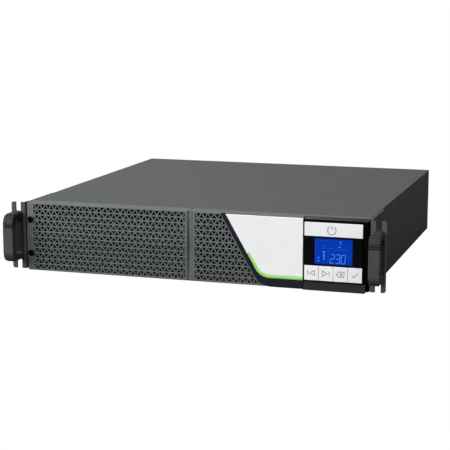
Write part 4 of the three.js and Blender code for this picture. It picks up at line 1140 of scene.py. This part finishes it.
def ground_stud():
    """A threaded stud with a hexagon nut on a washer."""
    low, high = span("ground_stud")
    centre = middle_of("ground_stud")
    thread = [(0, high.y), (2.3, high.y)]
    y = high.y - 0.4
    while y > low.y + 0.6:
        thread += [(STUD_RADIUS, y), (STUD_ROOT, y - STUD_PITCH / 2)]
        y -= STUD_PITCH
    stud = spun([*thread, (STUD_ROOT, low.y), (0, low.y)], centre.x, centre.z, 24)
    seat = high.y - 10.2
    top = seat + 0.9
    washer = spun([(0, top), (6.6, top), (7.0, seat + 0.6), (7.0, seat), (0, seat)], centre.x, centre.z)
    nut = rounded(rod("Y", centre.x, centre.z, 5.6, top, top + 5, 6), 0.5, 2)
    piece("stud_look", merged(stud, washer, nut), "brass", BRASS, "ground_stud")


def breaker_button():
    """A round button with a shallow dish in its face."""
    low, high = span("breaker_button")
    centre = middle_of("breaker_button")
    radius = (high.x - low.x) / 2
    foot = low.y - high.y
    solid = spun([(0, -0.35), (radius * 0.55, -0.3), (radius * 0.8, 0), (radius - 0.2, -0.2), (radius, -0.8),
                  (radius, foot), (0, foot)], centre.x, centre.z, 36, high.y)
    piece("breaker_look", solid, "gloss_black", GLOSS, "breaker_button", body="breaker_button")


def cover_thumbscrews():
    """Knurled screws with a slot, at the two ends of the network slot's cover."""
    low, high = span("network_slot_cover")
    z = (low.z + high.z) / 2
    top = high.y + 4.6
    for side, x in (("left", low.x + 4.6), ("right", high.x - 4.6)):
        knob = prism(star(x, z, 3.9, 0.35, 22), "Y", high.y + 0.8, top)
        rounded(knob, 0.15, 1, lambda p: p.y > top - 0.1)
        knob = cut(knob, turned_at(block(0, 0, 5, 0.45, top - 1, top + 1.4), x, z, 35))
        neck = rod("Y", x, z, 2.4, high.y - 0.6, high.y + 0.9, 24)
        piece(f"cover_thumbscrew_{side}", merged(knob, neck), "zinc_steel", ZINC)


def rear_screws():
    """Small screws that hold the rear panel and the inlet."""
    panel = span("rear_panel")[1]
    columns = (5 - panel.x, panel.x - 5, 0, -77)
    places = [(x, z) for x in columns for z in (7, 79)]
    heads = [pan_head(x, z, panel.y, 2.6, 15 + 17 * i) for i, (x, z) in enumerate(places)]
    low, high = span("ac_inlet")
    heads += [pan_head(x, (low.z + high.z) / 2, high.y, 2.0, 40) for x in (low.x + 5.2, high.x - 5.2)]
    piece("rear_screws", merged(*heads), "zinc_steel", DARK_COAT_AND_GRILLE_SHADE)


# ----------- inside

def upright(profile, x, y):
    """Turns a profile of (radius, height) points round a vertical line."""
    return moved(turned(spun(profile, 0, 0, 40), "X", 90), x, y)


def capacitors():
    """Sleeved cans with a scored metal top."""
    for number in (1, 2, 3):
        node = f"bulk_capacitor_{number}"
        low, high = span(node)
        foot, head = low.z, high.z
        x, y, _ = middle_of(node)
        radius = (high.x - low.x) / 2
        half = radius - 3
        sleeve = upright([(0, foot), (radius - 0.8, foot), (radius, foot + 1), (radius, foot + 3.5),
                          (radius - 0.9, foot + 4.5), (radius, foot + 5.5), (radius, head - 1.2),
                          (radius - 1.2, head), (half, head), (half, head - 1), (0, head - 1)], x, y)
        piece(f"{node}_sleeve", sleeve, "black_plastic", SLEEVE, node)
        top = upright([(0, head - 1), (half, head - 1), (half, head - 0.5), (half - 0.6, head - 0.2),
                       (0, head - 0.2)], x, y)
        for reach_x, reach_y in ((half * 0.7, 0.4), (0.4, half * 0.7)):
            top = cut(top, slab(x - reach_x, x + reach_x, y - reach_y, y + reach_y, head - 0.5, head + 1))
        piece(f"{node}_top", top, "aluminium", ALUMINIUM)


CHOKE_TURNS = 52
CHOKE_WIRE = 0.7


def choke():
    """Enamelled wire wound round a ferrite ring."""
    low, high = span("filter_choke")
    centre = (low + high) / 2
    thick = (high.z - low.z) / 2
    ring = (high.x - low.x) / 2 - thick
    path = [(centre.x + u, centre.y + v, centre.z) for u, v in circle(0, 0, ring, 48)]
    core = wire(path, thick - 2 * CHOKE_WIRE, sides=16, closed=True)
    piece("choke_core", core, "ferrite", FERRITE)
    loops = []
    for i in range(CHOKE_TURNS):
        angle = 2 * math.pi * i / CHOKE_TURNS
        outward = Vector((math.cos(angle), math.sin(angle), 0))
        loop = [centre + outward * (ring + u) + Vector((0, 0, v))
                for u, v in circle(0, 0, thick - CHOKE_WIRE, 14)]
        loops.append(wire(loop, CHOKE_WIRE, (-math.sin(angle), math.cos(angle), 0), 6, True))
    piece("choke_winding", merged(*loops), "copper", COPPER_BAR, "filter_choke")


WINDING_LAYERS = 20
WINDING_WIRE = 0.75
WINDING_EDGE = 0.8


def winding():
    """Layers of wire round the middle leg of the transformer."""
    low, high = span("transformer_winding")
    pitch = (high.z - low.z - 2 * WINDING_EDGE) / (WINDING_LAYERS - 1)
    outline = rounded_rectangle(low.x, high.x, low.y, high.y, 4, 4)
    heights = [low.z + WINDING_EDGE + pitch * i for i in range(WINDING_LAYERS)]
    layers = [wire([(u, v, z) for u, v in outline], WINDING_WIRE, sides=6, closed=True) for z in heights]
    piece("winding_turns", merged(*layers), "copper", COPPER_BAR)


TAB = 4.0
TAB_HALF_WIDTH = 1.9
TAB_HALF_LENGTH = 3.2
TAB_LOW = 9.95
TAB_HIGH = 8.85
TAB_INSET = 12.0
TAB_DROP = 9.4
LEAD_RADIUS = 1.8
LEAD_DROP = 9.0
BLOCK_RIBS = 12
BLOCK_RIB_PITCH = 11
BLOCK_RIB_WIDTH = 6
BLOCK_RIB_SPAN = (12, 83)


def battery_leads():
    """Two sleeved leads from the front tabs, back under the other tabs and down into the plug."""
    plug_low, plug_high = span("battery_plug")
    left_block, right_block = span("battery_block_1"), span("battery_block_3")
    tab_y = left_block[0].y + TAB_INSET
    tab_z = left_block[1].z - TAB_DROP
    run_z = tab_z - LEAD_DROP
    drop_y = plug_low.y + LEAD_RADIUS + 0.7
    for name, x, material in (("red", left_block[1].x - TAB / 2, RED_LEAD),
                              ("black", right_block[0].x + TAB / 2, BLACK_LEAD)):
        route = [(tab_y, tab_z), (tab_y + 4, tab_z - 6), (tab_y + 13, run_z), (drop_y - 22, run_z),
                 (drop_y - 8, run_z - 0.5), (drop_y - 3, run_z - 2.5), (drop_y - 0.8, run_z - 6),
                 (drop_y, run_z - 10), (drop_y, plug_high.z - 1)]
        lead = wire([(x, y, z) for y, z in route], LEAD_RADIUS, (1, 0, 0), 12)
        piece(f"battery_lead_{name}", lead, "battery_case", material, body="battery_drawer")


def battery_details():
    """Moulded ribs on the upper side of each block, and plated terminal tabs."""
    rib_left, rib_right = BLOCK_RIB_SPAN
    for number in range(1, 5):
        low, high = span(f"battery_block_{number}")
        top = high.z
        on_right = number > 2
        tab_x = low.x + TAB / 2 if on_right else high.x - TAB / 2
        case_left = low.x + TAB if on_right else low.x
        tabs = [slab(tab_x - TAB_HALF_WIDTH, tab_x + TAB_HALF_WIDTH, y - TAB_HALF_LENGTH, y + TAB_HALF_LENGTH,
                     top - TAB_LOW, top - TAB_HIGH) for y in (low.y + TAB_INSET, high.y - TAB_INSET)]
        tabs = [rounded(tab, 0.2, 1) for tab in tabs]
        piece(f"battery_tabs_{number}", merged(*tabs), "zinc_steel", BARE, body="battery_drawer")
        ribs = []
        for i in range(BLOCK_RIBS):
            y = low.y + 14 + BLOCK_RIB_PITCH * i
            rib = slab(case_left + rib_left, case_left + rib_right, y, y + BLOCK_RIB_WIDTH,
                       top - 0.2, top + 0.5)
            ribs.append(rounded(rib, 0.3, 2))
        piece(f"battery_ribs_{number}", merged(*ribs), "battery_case", CASE, body="battery_drawer")


# ----------- setting

CAMERA_LENS = 105.4
CAMERA_PLACE = (0.517, -1.709, 0.358)
CAMERA_AZIMUTH = math.radians(17.57)
CAMERA_ELEVATION = math.radians(10.31)


def camera():
    data = bpy.data.cameras.new("camera")
    data.lens = CAMERA_LENS
    data.sensor_width = 36.0
    data.clip_end = 500
    obj = bpy.data.objects.new("camera", data)
    level = math.cos(CAMERA_ELEVATION)
    back = Vector((math.sin(CAMERA_AZIMUTH) * level, -math.cos(CAMERA_AZIMUTH) * level,
                   math.sin(CAMERA_ELEVATION)))
    obj.location = CAMERA_PLACE
    obj.rotation_euler = back.to_track_quat("Z", "Y").to_euler()
    scene.collection.objects.link(obj)
    scene.camera = obj


def aimed(obj, location, target):
    obj.location = location
    obj.rotation_euler = (Vector(location) - Vector(target)).to_track_quat("Z", "Y").to_euler()
    scene.collection.objects.link(obj)


def softbox(name, location, target, width, height, energy):
    light = bpy.data.lights.new(name, "AREA")
    light.shape = "RECTANGLE"
    light.size, light.size_y = width, height
    light.energy = energy
    aimed(bpy.data.objects.new(name, light), location, target)


def seen_or_lit(tree, seen, lit):
    """One shader for what the camera sees directly, and a darker one for what lights the object."""
    mix = tree.nodes.new("ShaderNodeMixShader")
    tree.links.new(tree.nodes.new("ShaderNodeLightPath").outputs["Is Camera Ray"], mix.inputs["Fac"])
    tree.links.new(lit, mix.inputs[1])
    tree.links.new(seen, mix.inputs[2])
    return mix.outputs["Shader"]


# Name, place, target, width, height and power of each soft box, in metres and watts.
SOFTBOXES = (
    ("front_softbox", (-1.7, -2.2, 0.95), (0, -0.2, 0.05), 1.6, 1.0, 34),
    ("edge_strip", (1.5, -1.1, 0.24), (0.22, -0.23, 0.05), 0.14, 0.44, 3),
    ("rear_softbox", (-1.2, 2.0, 2.2), (0, 0.2, 0.05), 1.6, 1.0, 17),
    ("rear_fill", (0.9, 2.2, 0.6), (0, 0.2, 0.05), 1.2, 0.8, 2.6),
)
OVERHEAD_STRENGTH = 4.4
OVERHEAD_SPREAD = math.radians(90)
SEEN_STRENGTH = 1.0
LIT_STRENGTH = 0.085


def studio():
    """A wide overhead light, four soft boxes and a white background that hardly lights the object."""
    overhead = bpy.data.lights.new("overhead", "SUN")
    overhead.energy = OVERHEAD_STRENGTH
    overhead.angle = OVERHEAD_SPREAD
    aimed(bpy.data.objects.new("overhead", overhead), (-0.9, -1.5, 2.5), (0, 0, 0))
    for box in SOFTBOXES:
        softbox(*box)
    world = bpy.data.worlds.new("studio")
    world.use_nodes = True
    tree = world.node_tree
    backdrops = []
    for strength in (SEEN_STRENGTH, LIT_STRENGTH):
        backdrop = tree.nodes.new("ShaderNodeBackground")
        backdrop.inputs["Color"].default_value = (1, 1, 1, 1)
        backdrop.inputs["Strength"].default_value = strength
        backdrops.append(backdrop.outputs["Background"])
    tree.links.new(seen_or_lit(tree, *backdrops), tree.nodes["World Output"].inputs["Surface"])
    scene.world = world
    scene.view_settings.view_transform = "Standard"


FLOOR_REACH = 120000.0
FLOOR_THICKNESS = 20.0
FLOOR_GAP = 0.4
FLOOR_TONE = (0.06, 0.06, 0.06, 1)


def floor():
    """A pale floor: a large shallow tray, so that it is a real solid."""
    material = bpy.data.materials.new("pale_floor")
    material.use_nodes = True
    tree = material.node_tree
    backdrop = tree.nodes.new("ShaderNodeEmission")
    matt = tree.nodes.new("ShaderNodeBsdfDiffuse")
    matt.inputs["Color"].default_value = FLOOR_TONE
    shown = seen_or_lit(tree, backdrop.outputs["Emission"], matt.outputs["BSDF"])
    tree.links.new(shown, tree.nodes["Material Output"].inputs["Surface"])
    solid = slab(-FLOOR_REACH, FLOOR_REACH, -FLOOR_REACH / 2, 2 * FLOOR_REACH, -FLOOR_THICKNESS, -FLOOR_GAP)
    new_object("floor", solid, material)


# ----------- assembly

battery_panel()
front_bezel()
surround()
white_cover()
green_strip()
window()
lcd()
keys()
handles()
panel_screws()
fan_guard()
fan_rotor()
outlet_islands()
inlet_pins()
link_contacts()
signal_ports()
ground_stud()
breaker_button()
cover_thumbscrews()
rear_screws()
capacitors()
choke()
winding()
battery_leads()
battery_details()
for material, bevel, nodes in (
    (COAT, 0.35, ("base_pan", "top_cover", "rear_panel", "network_slot_cover")),
    # Walls behind the front grille: near-black paint as painted shade seen through the holes.
    (DARK_COAT_AND_GRILLE_SHADE, 0.2, ("front_bulkhead", "divider_wall", "battery_tray")),
    (EAR_COAT_AND_SHADE, 0.4, ("ear_left", "ear_right")),
    (FRAME_BLACK, 0.25, ("display_housing",)),
    (BOARD, 0.15, ("display_board", "main_board", "control_board")),
    (BLACK, 0.25, ("battery_plug", "battery_socket", "fan_frame", "ac_inlet", "outlet_block_left",
                   "outlet_block_right", "breaker_body")),
    (LINK_PLASTIC, 0.4, ("external_battery_connector",)),
    (ALUMINIUM, 0.2, ("inverter_heatsink", "charger_heatsink", "emi_filter")),
    (COPPER_BAR, 0.2, ("battery_link_left", "battery_link_right", "battery_link_cross")),
    (COPPER, 0.4, ("transformer_winding",)),
    (FERRITE, 0.5, ("transformer_core",)),
    (CASE, 0.6, ("battery_block_1", "battery_block_2", "battery_block_3", "battery_block_4")),
    (ZINC, 0.2, ("usb_port", "serial_port")),
):
    for node in nodes:
        dress(node, material, bevel)
dress("display_frame", FRAME_BLACK, 0.5, 3)

floor()
studio()
camera()
